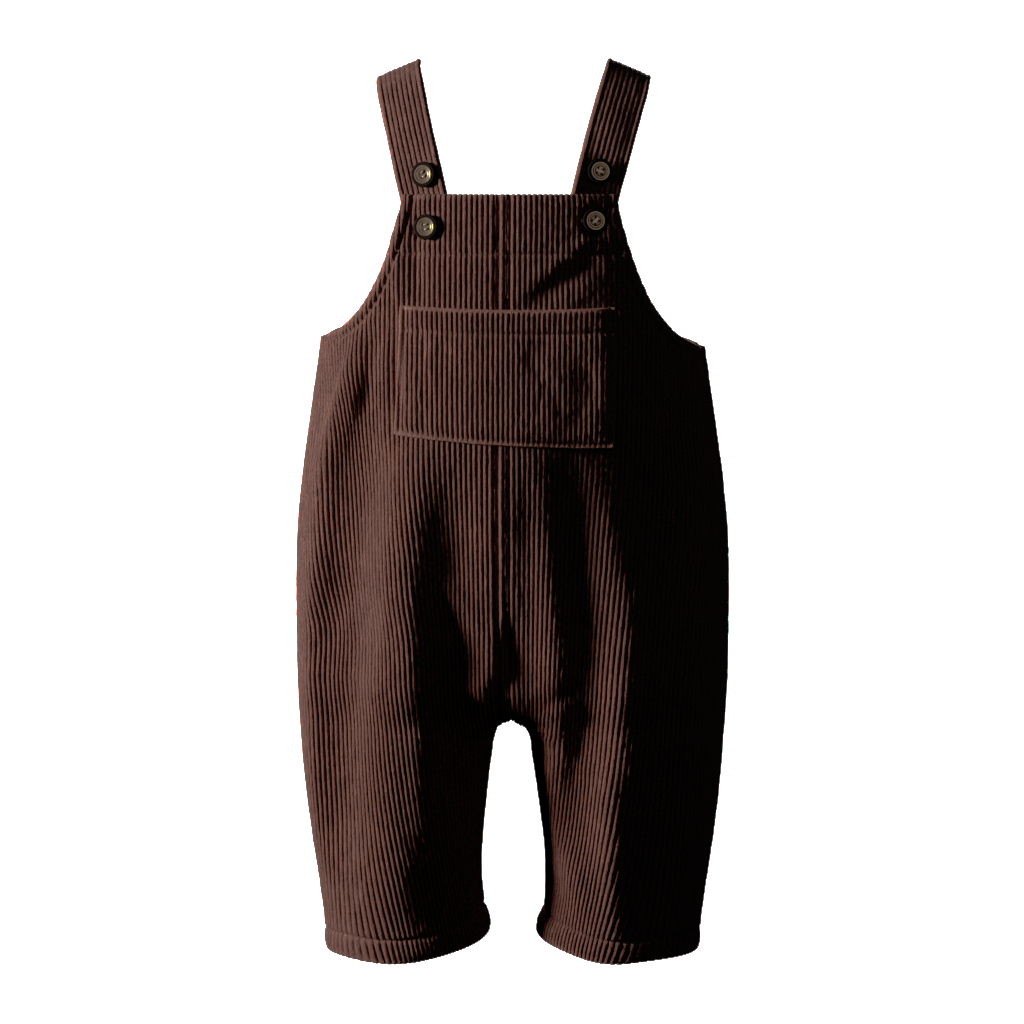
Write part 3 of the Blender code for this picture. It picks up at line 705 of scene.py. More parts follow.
def wale_shape(u, along, seed):
    """For points at u across the wales: their height, their tone, and how far they stray sideways."""
    index = np.floor(u / WALE_PITCH + 0.5)
    place = u / WALE_PITCH + 0.5 - index
    from_groove = np.minimum(place, 1 - place)
    x = np.clip((from_groove - GROOVE_SHARE) / (0.5 - GROOVE_SHARE), 0.0, 1.0)
    crown = (1 - (1 - x) ** 2.4) ** 0.6
    share, lengths, long_share, long_lengths = HEIGHT_WAVER
    uneven = 1 + share * waver(index, along, lengths, seed)
    uneven = uneven + long_share * waver(index, along, long_lengths, seed + 9)
    stray = STRAY[0] * waver(index, along, STRAY[1], seed + 20) * crown
    return WALE_HEIGHT * crown * uneven, crown, stray


class Shell:
    """A mesh gathered from rows of points, each with a tone: 1 on a wale, 0 in a groove."""

    def __init__(self):
        self.points, self.tones, self.wear = [], [], []
        self.faces, self.slots = [], []
        self.count = 0

    def add(self, points, tones, wear=0.0):
        points = np.atleast_2d(points)
        self.points.append(points)
        self.tones.append(np.broadcast_to(tones, len(points)))
        self.wear.append(np.broadcast_to(wear, len(points)))
        self.count += len(points)
        return list(range(self.count - len(points), self.count))

    def face(self, corners, slot=0):
        corners = list(dict.fromkeys(corners))
        if len(corners) > 2:
            self.faces.append(corners)
            self.slots.append(slot)

    def strip(self, first, second, slot=0):
        """Quads between two lists of vertices of the same length."""
        for a, b, c, d in zip(first, first[1:], second[1:], second):
            self.face((a, b, c, d), slot)

    def join(self, first, second, slot=0):
        """Faces between two rows, each a pair (distances, vertices)."""
        (ua, a), (ub, b) = first, second
        if len(ua) == len(ub) and np.allclose(ua[1:-1], ub[1:-1], atol=0.02):
            self.strip(a, b, slot)
            return
        i = j = 0
        while i < len(a) - 1 or j < len(b) - 1:
            if j == len(b) - 1 or (i < len(a) - 1 and ua[i + 1] <= ub[j + 1]):
                self.face((a[i], a[i + 1], b[j]), slot)
                i += 1
            else:
                self.face((a[i], b[j + 1], b[j]), slot)
                j += 1

    def make(self, name, materials):
        mesh = bpy.data.meshes.new(name)
        mesh.from_pydata(np.concatenate(self.points) * MM, [], self.faces)
        for material in materials:
            mesh.materials.append(material)
        mesh.polygons.foreach_set("material_index", np.array(self.slots, np.int32))
        for attribute, values in (("tone", self.tones), ("wear", self.wear)):
            layer = mesh.attributes.new(attribute, "FLOAT", "POINT")
            layer.data.foreach_set("value", np.concatenate(values).astype(np.float32))
        return finished(name, mesh)


def added(name, data):
    """A new object in the scene with this mesh, light or camera."""
    item = bpy.data.objects.new(name, data)
    bpy.context.scene.collection.objects.link(item)
    return item


def finished(name, mesh):
    """Turns a closed mesh's faces outward, shades it smooth and adds it to the scene."""
    bm = bmesh.new()
    bm.from_mesh(mesh)
    bmesh.ops.recalc_face_normals(bm, faces=bm.faces)
    if bm.calc_volume(signed=True) < 0:
        bmesh.ops.reverse_faces(bm, faces=bm.faces)
    bm.to_mesh(mesh)
    bm.free()
    mesh.shade_smooth()
    return added(name, mesh)


def turned_edge(shell, row, edges, picked=slice(None), both_sides=False):
    """Points round a turned edge, from outside to inside, as lists of vertices for each angle."""
    rings = []
    for angle in ROLL_ANGLES:
        pile = row["pile"][picked] * (1.0 if both_sides else math.cos(angle / 2) ** 2)
        reach = (row["thick"][picked] / 2 + pile)[:, None]
        middle = row["base"][picked] - row["normal"][picked] * row["thick"][picked][:, None] / 2
        points = middle + row["normal"][picked] * math.cos(angle) * reach + edges * math.sin(angle) * reach
        # The whole roll is worn pale and painted lighter as a highlight.
        rings.append(shell.add(points, row["tone"][picked], 1.0))
    return rings


def wall_shell(shell, rows, roll_first, roll_last, both_sides=False):
    """Joins rows into a closed wall whose top and bottom are turned edges.

    A row has u, base, normal, down, pile, tone, wear and thick. roll_first and roll_last say of
    each row whether its two ends are turned edges too.
    """
    outer, inner = [], []
    for i, row in enumerate(rows):
        points = row["base"] + row["normal"] * row["pile"][:, None]
        outer.append((row["u"], shell.add(points, row["tone"], row["wear"])))
        whole = both_sides or i in (0, len(rows) - 1)
        count = len(row["u"])
        some = np.arange(count) if whole else np.unique(np.r_[0:count:INSIDE_STEP, count - 1])
        lift = row["thick"] + (row["pile"] if both_sides else 0.0)
        points = (row["base"] - row["normal"] * lift[:, None])[some]
        inner.append((row["u"][some], shell.add(points, row["tone"][some] if both_sides else 1.0)))
    inside = 0 if both_sides else 1
    for a, b in zip(outer, outer[1:]):
        shell.join(a, b)
    for a, b in zip(inner, inner[1:]):
        shell.join(a, b, inside)
    sides = {}
    for place, way in ((0, -1.0), (-1, 1.0)):
        rings = turned_edge(shell, rows[place], way * rows[place]["down"], both_sides=both_sides)
        lines = [outer[place][1], *rings, inner[place][1]]
        for a, b in zip(lines, lines[1:]):
            shell.strip(a, b)
        sides[place] = lines
    for end, turned in ((0, roll_first), (-1, roll_last)):
        close_end(shell, rows, outer, inner, sides, end, turned, both_sides)


def close_end(shell, rows, outer, inner, sides, end, turned, both_sides):
    """Closes the wall at one end of its rows: a turned edge where asked, else plain."""
    ends = np.array([row["base"][end] for row in rows])
    along = np.gradient(ends, axis=0)
    picked = slice(0, 1) if end == 0 else slice(-1, None)
    rings, edges = [], []
    for i, row in enumerate(rows):
        normal = row["normal"][end]
        edge = unit(np.cross(along[i], normal))
        beyond = row["base"][end] - row["base"][1 if end == 0 else -2]
        edge = edge if edge @ beyond > 0 else -edge
        edges.append(edge)
        middle = []
        if turned[i]:
            middle = [ring[0] for ring in turned_edge(shell, row, edge[None, :], picked, both_sides)]
        rings.append([outer[i][1][end], *middle, inner[i][1][end]])
    for place in (0, -1):
        shown = [line[end] for line in sides[place]]
        if turned[place] and len(shown) == len(rings[place]):
            row, way = rows[place], rows[place]["down"][end] * (-1.0 if place == 0 else 1.0)
            lines = [shown]
            for share in (0.33, 0.67):
                edge = unit(way * (1 - share) + edges[place] * share)
                ring = turned_edge(shell, row, edge[None, :], picked, both_sides)
                lines.append([shown[0], *[r[0] for r in ring], shown[-1]])
            lines.append(rings[place])
            for a, b in zip(lines, lines[1:]):
                shell.strip(a, b)
        else:
            shell.face(list(dict.fromkeys(shown + rings[place][::-1])))
    for a, b in zip(rings, rings[1:]):
        if len(a) == len(b):
            shell.strip(a, b)
        else:
            shell.face([*a, *b[::-1]])


# ---------------------------------------------------------------- panels
def row_values(name):
    """v of each row of a panel."""
    face, hand = name.split("_")
    top = TOPS[face]
    start, armhole = top + EDGE, ARMHOLE_ENDS[hand] + 0.6 * EDGE
    beside = np.linspace(start, armhole - 0.01, int((armhole - start) / ARMHOLE_ROW))
    below = np.linspace(armhole + 0.8, TUCK_START, int((TUCK_START - armhole) / BODY_ROW))
    body = (np.concatenate([beside, below[:-1]]) - top) / (TUCK_START - top)
    tuck = np.linspace(1.0, 2.0, TUCK_COUNT + 1)[:-1]
    hem_line, last = HEM_TURN / LEG_LENGTH, EDGE / LEG_LENGTH
    near = GROOVE_WIDTH / LEG_LENGTH
    leg = np.linspace(2.0, 3.0 - hem_line - 2 * near, 42)
    hem = 3.0 - np.array([
        hem_line + near, hem_line + near / 2, hem_line, hem_line - near / 2, hem_line - near])
    turn = np.linspace(hem[-1] + near, 3.0 - last, 6)
    return np.concatenate([body, tuck, leg, hem, turn])


def panel_row(name, v):
    """The plain surface at one row, sampled across its wales."""
    fine = np.linspace(0.0, row_end(name, v, EDGE), 300)
    length = wale_lengths(name, fine, v) + lean(name, fine, v)
    u = wale_samples(length[0], length[-1])
    stray = wale_shape(u, row_shape(name, v)[0], wale_seed(name))[2]
    stray[[0, -1]] = 0.0
    t = np.interp(u + stray, length, fine)
    normal, down = directions(name, t, v)
    return {"u": u, "base": panel_points(name, t, v), "normal": normal, "down": down,
            "v": np.full(len(u), v), "first": u - length[0], "last": length[-1] - u}


def gathered(rows, key):
    return np.concatenate([row[key] for row in rows])


def spread(rows, **columns):
    """Gives each row its part of arrays over all the rows."""
    cuts = np.cumsum([len(row["u"]) for row in rows])[:-1]
    for key, values in columns.items():
        for row, part in zip(rows, np.split(values, cuts)):
            row[key] = part


def wale_seed(name):
    return sum(map(ord, name))


def sewn_down(gap, relief, pressed):
    """Draws the cloth in along a line of stitches and presses its wales, in place; the press also paints
    shade into their tone.
    """
    press, width = STITCH_PRESS
    relief -= GROOVE_DEPTH * np.exp(-(gap / GROOVE_WIDTH) ** 2)
    np.maximum(pressed, press * np.exp(-(gap / (width * GROOVE_WIDTH)) ** 2), out=pressed)


def swell(gap, height, width):
    return height * np.exp(-(gap / width) ** 2)


def under_buttons(points, seats):
    """1 where a button presses on the cloth, 0 well away from it."""
    near = np.min([np.linalg.norm(points - seat, axis=1) for seat in seats], axis=0)
    return 1 - ease(*PRESS_REACH, near)


def lap_relief(name, first, drop):
    """At a centre seam, how far the cloth is moved, and how much its wales are pressed."""
    if name.endswith("right"):
        return -LAP_SHADOW * (1 - ease(1.4, 3.4, first)), 0.0
    lap = LAP_HEIGHT * (1 - ease(LAP_WIDTH - 0.4, LAP_WIDTH + 1.2, first)) - swell(first, *LAP_GROOVE)
    press, share, across, lengths = LAP_MOTTLE
    mottle = share * waver(np.floor(first / across), drop, lengths, wale_seed(name) + 40)
    return lap, (1 - ease(LAP_WIDTH, LAP_WIDTH + 1.0, first)) * (press + mottle)


def make_panel(name, materials, thread, seats):
    """A panel's cloth, its stitches, and its cut's width, length and area."""
    face, hand = name.split("_")
    top = TOPS[face]
    rows = [panel_row(name, v) for v in row_values(name)]
    keys = ("base", "normal", "u", "v", "first", "last")
    base, normal, u, v, first, last = (gathered(rows, key) for key in keys)
    drop = -base[:, 2]
    pile, tone, _ = wale_shape(u, drop, wale_seed(name))

    above = np.linspace(0.0, (ARMHOLE_ENDS[hand] - top) / (TUCK_START - top), 60)
    armhole = on_panel(name, [(row_end(name, at, EDGE), at) for at in above])[0]
    from_armhole = path_distance(base, armhole)[0]
    from_hem = np.where(v > 2, (3.0 - v) * LEG_LENGTH, 1e3)
    from_top = drop - top

    lines = list(seam_lines(name))
    relief = crease_relief(base, BODY_CREASES)
    pressed = np.zeros(len(u))
    for points, _ in lines:
        sewn_down(path_distance(base, points)[0], relief, pressed)
    covered = under_buttons(base, seats)
    relief += swell(from_armhole - ARMHOLE_TURN / 2, *ARMHOLE_SWELL) - BUTTON_PRESS * covered
    relief += swell(from_hem - HEM_TURN / 2, *HEM_SWELL)

    centre = 1 - ease(*CENTRE_END, v)
    lap, lap_pressed = lap_relief(name, first, drop)
    inseam, side_seam = swell(first, 1.0, SEAM_WIDTH), swell(last, 1.0, SEAM_WIDTH) * (from_armhole > 2.0)
    relief += centre * lap - SEAM_DIP * ((1 - centre) * inseam + side_seam)
    pressed = np.maximum(pressed, centre * lap_pressed)
    pressed = np.maximum(pressed, SEAM_PRESS * np.maximum(side_seam, inseam * (1 - centre)))
    pressed = np.clip(pressed, 0.0, 1.0)

    from_edge = np.minimum(np.minimum(from_armhole, from_hem - EDGE), from_top - EDGE)
    at_edge = EDGE_PILE + (1 - EDGE_PILE) * ease(0.0, EDGE_PILE_REACH, from_edge)
    pile = pile * (1 - PRESSED_PILE * pressed) * at_edge * (1 - PRESS_PILE * covered)
    # Edges are worn pale and painted lighter as a highlight.
    wear = swell(np.minimum(np.minimum(from_armhole, from_hem), from_top), 1.0, EDGE_WEAR_AND_HIGHLIGHT)
    folds = ((HEM_TURN, from_hem), (FACING[face], from_top), (ARMHOLE_TURN, from_armhole))
    folded = np.max([1 - ease(width, width + FOLD_STEP, gap) for width, gap in folds], axis=0)
    # Pressed places are darkened in their tone: painted shade along stitches and seams, and the pressed
    # pile's own mottle on the lap.
    spread(rows, base=base + normal * relief[:, None], pile=pile, tone=tone * (1 - PRESSED_SHADE * pressed),
           wear=wear, thick=WALL + TURNING * folded)

    turned = [row_end(name, row["v"][0], EDGE) < 1.0 for row in rows]
    shell = Shell()
    wall_shell(shell, rows, [False] * len(rows), turned)
    item = shell.make(name + "_cloth", materials)
    stitches = Shell()
    for points, normals in lines:
        lifted = points + normals * (crease_relief(points, BODY_CREASES) + THREAD_LIFT)[:, None]
        if hand == "left" and points is lines[-1][0]:
            lifted = lifted + normals * LAP_HEIGHT * 0.6
        sew(stitches, lifted, normals)
    sewn = stitches.make(name + "_stitches", [thread])
    length = row_shape(name, 3.0)[1] - top
    width = max(row["u"][-1] - row["u"][0] for row in rows)
    return item, sewn, sheet_size(rows, width, length)


def sheet_size(rows, width, length):
    """A cut's width, length and area in metres, from the rows of its plain surface."""
    area = 0.0
    for upper, lower in zip(rows, rows[1:]):
        drop = np.linalg.norm(upper["base"][len(upper["u"]) // 2] - lower["base"][len(lower["u"]) // 2])
        area += drop * (np.ptp(upper["u"]) + np.ptp(lower["u"])) / 2
    return width * MM, length * MM, min(area * MM * MM, width * length * MM * MM)


# ---------------------------------------------------------------- thread
def sew(shell, points, normals):
    """Adds a line of stitches along a path."""
    length = path_lengths(points)
    for start in np.arange(0.4, length[-1] - STITCH_LENGTH, STITCH_PITCH):
        at = start + np.array([0.0, 0.5, 1.0]) * STITCH_LENGTH
        path = np.stack([np.interp(at, length, points[:, k]) for k in range(3)], axis=1)
        normal = unit(np.array([np.interp(at[1], length, normals[:, k]) for k in range(3)]))
        strand(shell, path, normal, THREAD_RADIUS)


def strand(shell, path, normal, radius, sides=6):
    """Adds one stitch: a thread that dips into the cloth at both ends."""
    a, b, c = path
    along = unit(c - a)
    side = unit(np.cross(along, normal))
    angles = np.arange(sides) * 2 * math.pi / sides
    rings = []
    for s, thick, lift in STITCH_RINGS:
        middle = a * (1 - s) ** 2 + 2 * b * s * (1 - s) + c * s ** 2 + normal * lift * radius
        ring = middle + radius * thick * (np.cos(angles)[:, None] * side + np.sin(angles)[:, None] * normal)
        rings.append(shell.add(ring, 1.0))
    for low, high in zip(rings, rings[1:]):
        shell.strip([*low, low[0]], [*high, high[0]])
    shell.face(rings[0])
    shell.face(rings[-1])


# ---------------------------------------------------------------- pocket
def pocket_edges(down):
    """The pocket's signed left and right sides at a share of the way down."""
    return [POCKET[key][0] + (POCKET[key][1] - POCKET[key][0]) * down for key in ("left", "right")]


def pocket_drop(side, down):
    """The drop at a signed side and a share of the way down: its top and bottom edges are curved."""
    left, right = pocket_edges(down)
    across = (2 * side - left - right) / (right - left)
    first, middle, last = [POCKET[key][0] + (POCKET[key][1] - POCKET[key][0]) * down
                           for key in ("left_drop", "middle_drop", "right_drop")]
    return middle + (last - first) / 2 * across + ((last + first) / 2 - middle) * across ** 2


def pocket_insets(side, drop):
    """Distances of points of the pocket from its top, its bottom and its nearer side."""
    top, bottom = pocket_drop(side, 0.0), pocket_drop(side, 1.0)
    left, right = pocket_edges((drop - top) / (bottom - top))
    return drop - top, bottom - drop, np.minimum(side - left, right - side)


def pocket_surface(side, drop):
    """The plain surface of the pocket's outside, under its wales."""
    from_top, from_bottom, from_side = pocket_insets(side, drop)
    bulge = ease(0.0, 12.0, np.minimum(from_side, from_bottom))
    mouth = (1 - ease(0.0, 22.0, from_top)) * ease(0.0, 40.0, from_side)
    lift = POCKET_LIFT + POCKET_RISE + POCKET_BULGE * bulge + POCKET_MOUTH * mouth
    lift = lift + POCKET_GAPE * ease(*GAPE_SIDES, side)
    return front_points(side, drop) + face_normals(front_points, side, drop) * lift[..., None]


def pocket_row(down):
    left, right = pocket_edges(down)
    scale = POCKET_PITCH / WALE_PITCH
    u = wale_samples((left + EDGE) / scale, (right - EDGE) / scale)
    stray = POCKET_STRAY * wale_shape(u, pocket_drop(0.0, down), POCKET_SEED)[2]
    stray[[0, -1]] = 0.0
    side = (u + stray) * scale
    drop = pocket_drop(side, down)
    base = pocket_surface(side, drop)
    normal = face_normals(pocket_surface, side, drop)
    below = pocket_surface(side, drop + 0.5) - pocket_surface(side, drop - 0.5)
    below = unit(below - normal * np.sum(below * normal, axis=1)[:, None])
    return {"u": u, "base": base, "normal": normal, "down": below, "side": side, "drop": drop}


def make_pocket(materials, thread):
    height = POCKET["middle_drop"][1] - POCKET["middle_drop"][0]
    downs = np.linspace(EDGE / height, 1 - EDGE / height, int(height / POCKET_ROW))
    rows = [pocket_row(down) for down in downs]
    base, u, side, drop = (gathered(rows, key) for key in ("base", "u", "side", "drop"))
    from_top, from_bottom, from_side = pocket_insets(side, drop)
    pile, tone, _ = wale_shape(u, drop, POCKET_SEED)
    creases = list(crease_paths(POCKET_CREASES, pocket_surface))
    relief = crease_relief(base, creases)
    pressed = np.zeros(len(u))
    from_edge = np.minimum(from_side, from_bottom) - EDGE
    for gap in (from_edge - POCKET_SEAM, from_top - POCKET_HEM):
        sewn_down(gap, relief, pressed)
    pile = pile * (1 - PRESSED_PILE * pressed)
    # Painted shade along its stitched grooves.
    tone = tone * (1 - PRESSED_SHADE * pressed)
    # Along its turned edge the wales are filled in and the colour painted lighter: worn pale, and a painted
    # highlight on the edge's roll.
    wear = np.exp(-(np.minimum(from_edge, from_top - EDGE) / EDGE_WELT) ** 2)
    pile, tone = pile * (1 - wear) + 0.7 * WALE_HEIGHT * wear, tone * (1 - wear) + wear
    thick = POCKET_WALL + POCKET_TURNING * (1 - ease(POCKET_HEM, POCKET_HEM + FOLD_STEP, from_top))
    base = base + gathered(rows, "normal") * relief[:, None]
    spread(rows, base=base, pile=pile, tone=tone, wear=wear, thick=thick)
    shell = Shell()
    turned = [True] * len(rows)
    wall_shell(shell, rows, turned, turned)
    item = shell.make("pocket_cloth", materials)

    stitches = Shell()
    inset = EDGE + POCKET_SEAM
    down = np.linspace(3.0 / height, 1 - inset / height, 40)
    across = np.linspace(0.0, 1.0, 60)
    (left, right), (low_left, low_right) = pocket_edges(POCKET_HEM / height), pocket_edges(1.0)
    hem_side = left + inset + (right - left - 2 * inset) * across
    low_side = low_left + inset + (low_right - low_left - 2 * inset) * across
    routes = [(edge + sign * inset, pocket_drop(edge + sign * inset, down))
              for edge, sign in zip(pocket_edges(down), (1, -1))]
    routes.append((hem_side, pocket_drop(hem_side, 0.0) + POCKET_HEM))
    routes.append((low_side, pocket_drop(low_side, 1.0) - inset))
    for side, drop in routes:
        points, normals = pocket_surface(side, drop), face_normals(pocket_surface, side, drop)
        sew(stitches, points + normals * (crease_relief(points, creases) + THREAD_LIFT)[:, None], normals)
    sewn = stitches.make("pocket_stitches", [thread])
    width = low_right - low_left
    return item, sewn, (width * MM, height * MM, width * height * MM * MM * POCKET_FILL)


# ---------------------------------------------------------------- straps
def strap_middle(hand, s):
    """The middle of a strap and how its outer edge turns away from the viewer, s from 0 to 1."""
    keys = dict(STRAP, step=np.linspace(0.0, 1.0, len(STRAP["side"])))
    side, drop, share, tilt, outer = (smooth(keys, column, s, "step")
                                      for column in ("side", "drop", "share", "tilt", hand))
    side += outer
    name = ("front_" if share < 0 else "back_") + hand
    here, beyond = depth(name, np.array([side, side + 1.0]), drop)
    place = np.array([SIGNS[hand] * side, share * here, -drop])
    free = (1 - ease(*TWIST_DROPS, drop)) * ease(0.0, 0.5, -share)
    yaw = -share * math.atan(here - beyond) - math.radians(STRAP_TWIST[hand]) * free
    return place, yaw, math.radians(tilt)


def strap_frame(hand, s):
    """A strap's middle, the directions to its outer edge, outward and along it, s from 0 to 1."""
    step = 1e-3
    ahead = unit(strap_middle(hand, min(s + step, 1.0))[0] - strap_middle(hand, max(s - step, 0.0))[0])
    middle, yaw, tilt = strap_middle(hand, s)
    across = np.array([SIGNS[hand] * math.cos(tilt) * math.cos(yaw), math.sin(yaw), -math.sin(tilt)])
    across = unit(across - ahead * across.dot(ahead))
    normal = np.cross(across, ahead) * SIGNS[hand]
    return middle, across, normal, ahead


def make_strap(hand, materials, seats):
    fine = np.linspace(0.0, 1.0, 300)
    spine = np.array([strap_middle(hand, s)[0] for s in fine])
    length = path_lengths(spine)
    stations = np.linspace(EDGE, length[-1] - EDGE, int(length[-1] / STRAP_ROW))
    reach = STRAP_WIDTH / 2 - STRAP_WALL / 2 - 0.3
    seed = STRAP_SEEDS[hand]
    rows = []
    for at in stations:
        middle, across, normal, ahead = strap_frame(hand, np.interp(at, length, fine))
        u = wale_samples(-reach, reach)
        pile, tone, stray = wale_shape(u, at, seed)
        stray[[0, -1]] = 0.0
        crest = CREST_PILE + (1 - CREST_PILE) * ease(*CREST_DROPS, -middle[2])
        sag = 0.5 * math.sin(at / 23.0 + seed) * (u / reach) ** 2 + 0.35 * np.sin(at / 11.0 + u / 6.0 + seed)
        near_end = np.minimum(u + reach, reach - u)
        # Its edges are worn pale and painted lighter as a highlight.
        wear = np.exp(-(near_end / 1.2) ** 2)
        dip = 0.3 * np.exp(-(near_end - 2.6) ** 2 / 1.4)
        base = middle + (u + stray)[:, None] * across
        crest = crest * (1 - PRESS_PILE * under_buttons(base, seats))
        rows.append({
            "u": u, "base": base + (sag * 0.6 - dip)[:, None] * normal, "thick": STRAP_WALL - 2 * dip,
            "normal": np.tile(normal, (len(u), 1)), "down": np.tile(ahead, (len(u), 1)),
            "pile": STRAP_PILE * crest * pile, "tone": tone, "wear": wear,
        })
    shell = Shell()
    turned = [True] * len(rows)
    wall_shell(shell, rows, turned, turned, both_sides=True)
    item = shell.make("strap_%s_cloth" % hand, materials)
    size = (STRAP_WIDTH * MM, length[-1] * MM, STRAP_WIDTH * length[-1] * MM * MM)
    return item, size


# ---------------------------------------------------------------- buttons
def button_body(materials):
    """A turned button with its sewing holes cut through."""
    shell = Shell()
    rings = []
    for radius, height in zip(BUTTON_PROFILE["radius"], BUTTON_PROFILE["height"]):
        angles = np.arange(BUTTON_SEGMENTS if radius > 0 else 1) * 2 * math.pi / BUTTON_SEGMENTS
        level = np.full(len(angles), height)
        ring = np.stack([radius * np.cos(angles), radius * np.sin(angles), level], axis=1)
        rings.append(shell.add(ring, 1.0))
    for radius, low, high in zip(BUTTON_PROFILE["radius"], rings, rings[1:]):
        low = [*low, low[0]] if len(low) > 1 else low * (BUTTON_SEGMENTS + 1)
        high = [*high, high[0]] if len(high) > 1 else high * (BUTTON_SEGMENTS + 1)
        shell.strip(low, high, int(radius > BUTTON_RIM))
    disc = shell.make("button_disc", materials)
    drills = bmesh.new()
    for i in range(BUTTON_HOLES):
        made = bmesh.ops.create_cone(drills, cap_ends=True, segments=20, radius1=HOLE_RADIUS * MM,
                                     radius2=HOLE_RADIUS * MM, depth=12 * MM)
        angle = (i + 0.5) * 2 * math.pi / BUTTON_HOLES
        spot = (HOLE_CIRCLE * MM * math.cos(angle), HOLE_CIRCLE * MM * math.sin(angle), 0.0)
        bmesh.ops.translate(drills, verts=made["verts"], vec=spot)
    cutter_mesh = bpy.data.meshes.new("button_drills")
    drills.to_mesh(cutter_mesh)
    drills.free()
    cutter = added("button_drills", cutter_mesh)
    cut = disc.modifiers.new("holes", "BOOLEAN")
    cut.object = cutter
    mesh = bpy.data.meshes.new_from_object(disc.evaluated_get(bpy.context.evaluated_depsgraph_get()))
    for item in (disc, cutter):
        bpy.data.objects.remove(item)
    mesh.shade_smooth()
    mesh.set_sharp_from_angle(angle=math.radians(40))
    return mesh


def button_thread(material):
    """Two bars of thread over a button's holes, each of three strands, as one mesh."""
    shell = Shell()
    reach = HOLE_CIRCLE * math.cos(math.pi / 4)
    up = np.array([0.0, 0.0, 1.0])
    for across in (-reach, reach):
        for shift in (-0.32, 0.0, 0.32):
            lift = THREAD_TOP + (0.55 if shift == 0.0 else 0.4)
            ends = np.array([[-reach, across + shift, lift], [0.0, across + shift * 0.9, lift + 0.25],
                             [reach, across + shift, lift]])
            strand(shell, ends, up, 0.26, sides=8)
    item = shell.make("button_thread", [material])
    mesh = item.data
    bpy.data.objects.remove(item)
    return mesh


def place(name, mesh, point, normal, lift, turn):
    """Puts a mesh on a seat, turned by some degrees round its axis."""
    item = added(name, mesh)
    item.location = (point + normal * lift) * MM
    item.rotation_mode = "QUATERNION"
    turned = Quaternion((0, 0, 1), math.radians(turn))
    item.rotation_quaternion = Vector(normal).to_track_quat("Z", "Y") @ turned
    return item


def button_places():
    """Each button's name with its seat: point and outward normal."""
    for hand, sign in SIGNS.items():
        drop, outer = STRAP_BUTTONS[hand]
        s = min(np.linspace(0.0, 0.5, 501), key=lambda at: abs(strap_frame(hand, at)[0][2] + drop))
        middle, across, normal, _ = strap_frame(hand, s)
        yield "strap_" + hand, middle + across * outer, normal
        side, drop = BIB_BUTTONS[hand]
        side, drop = np.array([sign * side]), np.array([drop])
        yield "bib_" + hand, front_points(side, drop)[0], face_normals(front_points, side, drop)[0]


def make_buttons(horn, rim, thread):
    body, bars = button_body([horn, rim]), button_thread(thread)
    for where, point, normal in button_places():
        lift, turn = BUTTON_LIFT, BUTTON_TURNS[where]
        disc = place("button_%s_disc" % where, body, point, normal, lift, turn)
        yarn = place("button_%s_thread" % where, bars, point, normal, lift, turn)
        yield where, disc, yarn


def make_buttonhole(hand, thread):
    """The worked hole that a bib button comes through, with a ring of close stitches."""
    side, drop = BIB_BUTTONS[hand]
    shell = Shell()
    half = BUTTONHOLE_LENGTH / 2
    for way in (-1.0, 1.0):
        for step in np.arange(-half, half + 0.1, BUTTONHOLE_STITCH):
            reach = 0.55 + 0.15 * (1 - (step / half) ** 2)
            across = SIGNS[hand] * side + np.array([step, step + 0.15, step + 0.3])
            down = drop + way * (reach + np.array([-0.75, 0.0, 0.75]))
            normals = face_normals(front_points, across, down)
            strand(shell, front_points(across, down) + normals * (WALE_HEIGHT + 0.05), normals[1], 0.3)
    return shell.make("buttonhole_" + hand, [thread])


# ---------------------------------------------------------------- materials
def shader_graph(name):
    """A new material, its node tree, and its Principled shader."""
    material = bpy.data.materials.new(name)
    material.use_nodes = True
    tree = material.node_tree
    return material, tree, tree.nodes["Principled BSDF"]


def noise_node(tree, scale, detail, roughness=0.5, stretch=(1.0, 1.0, 1.0)):
    """Noise over the object's own coordinates, in metres."""
    place_node = tree.nodes.new("ShaderNodeTexCoord")
    mapping = tree.nodes.new("ShaderNodeMapping")
    mapping.inputs["Scale"].default_value = stretch
    noise = tree.nodes.new("ShaderNodeTexNoise")
    noise.inputs["Scale"].default_value = scale
    noise.inputs["Detail"].default_value = detail
    noise.inputs["Roughness"].default_value = roughness
    tree.links.new(place_node.outputs["Object"], mapping.inputs["Vector"])
    tree.links.new(mapping.outputs["Vector"], noise.inputs["Vector"])
    return noise


def ramp_node(tree, source, stops):
    """A colour ramp fed by a socket, with stops of (position, colour)."""
    ramp = tree.nodes.new("ShaderNodeValToRGB")
    for i, (position, colour) in enumerate(stops):
        stop = ramp.color_ramp.elements[i] if i < 2 else ramp.color_ramp.elements.new(position)
        stop.position, stop.color = position, colour
    tree.links.new(source, ramp.inputs["Fac"])
    return ramp.outputs["Color"]


def attribute_node(tree, name):
    """A value that each point of a mesh carries."""
    node = tree.nodes.new("ShaderNodeAttribute")
    node.attribute_name = name
    return node


def times(colour, share):
    """A colour made darker or lighter."""
    return (*(share * part for part in colour[:3]), 1.0)


def shaded(tree, colour, node, low, high):
    """A colour times a grey picked by a node's value, low and high each as (value, grey)."""
    greys = ramp_node(tree, node.outputs["Fac"], [(at, (k, k, k, 1.0)) for at, k in (low, high)])
    mix = tree.nodes.new("ShaderNodeMix")
    mix.data_type, mix.blend_type = "RGBA", "MULTIPLY"
    mix.inputs["Factor"].default_value = 1.0
    tree.links.new(colour, mix.inputs["A"])
    tree.links.new(greys, mix.inputs["B"])
    return mix.outputs["Result"]


def set_sockets(shader, values):
    """Sets a shader's own sockets."""
    for name, value in values.items():
        shader.inputs[name].default_value = value


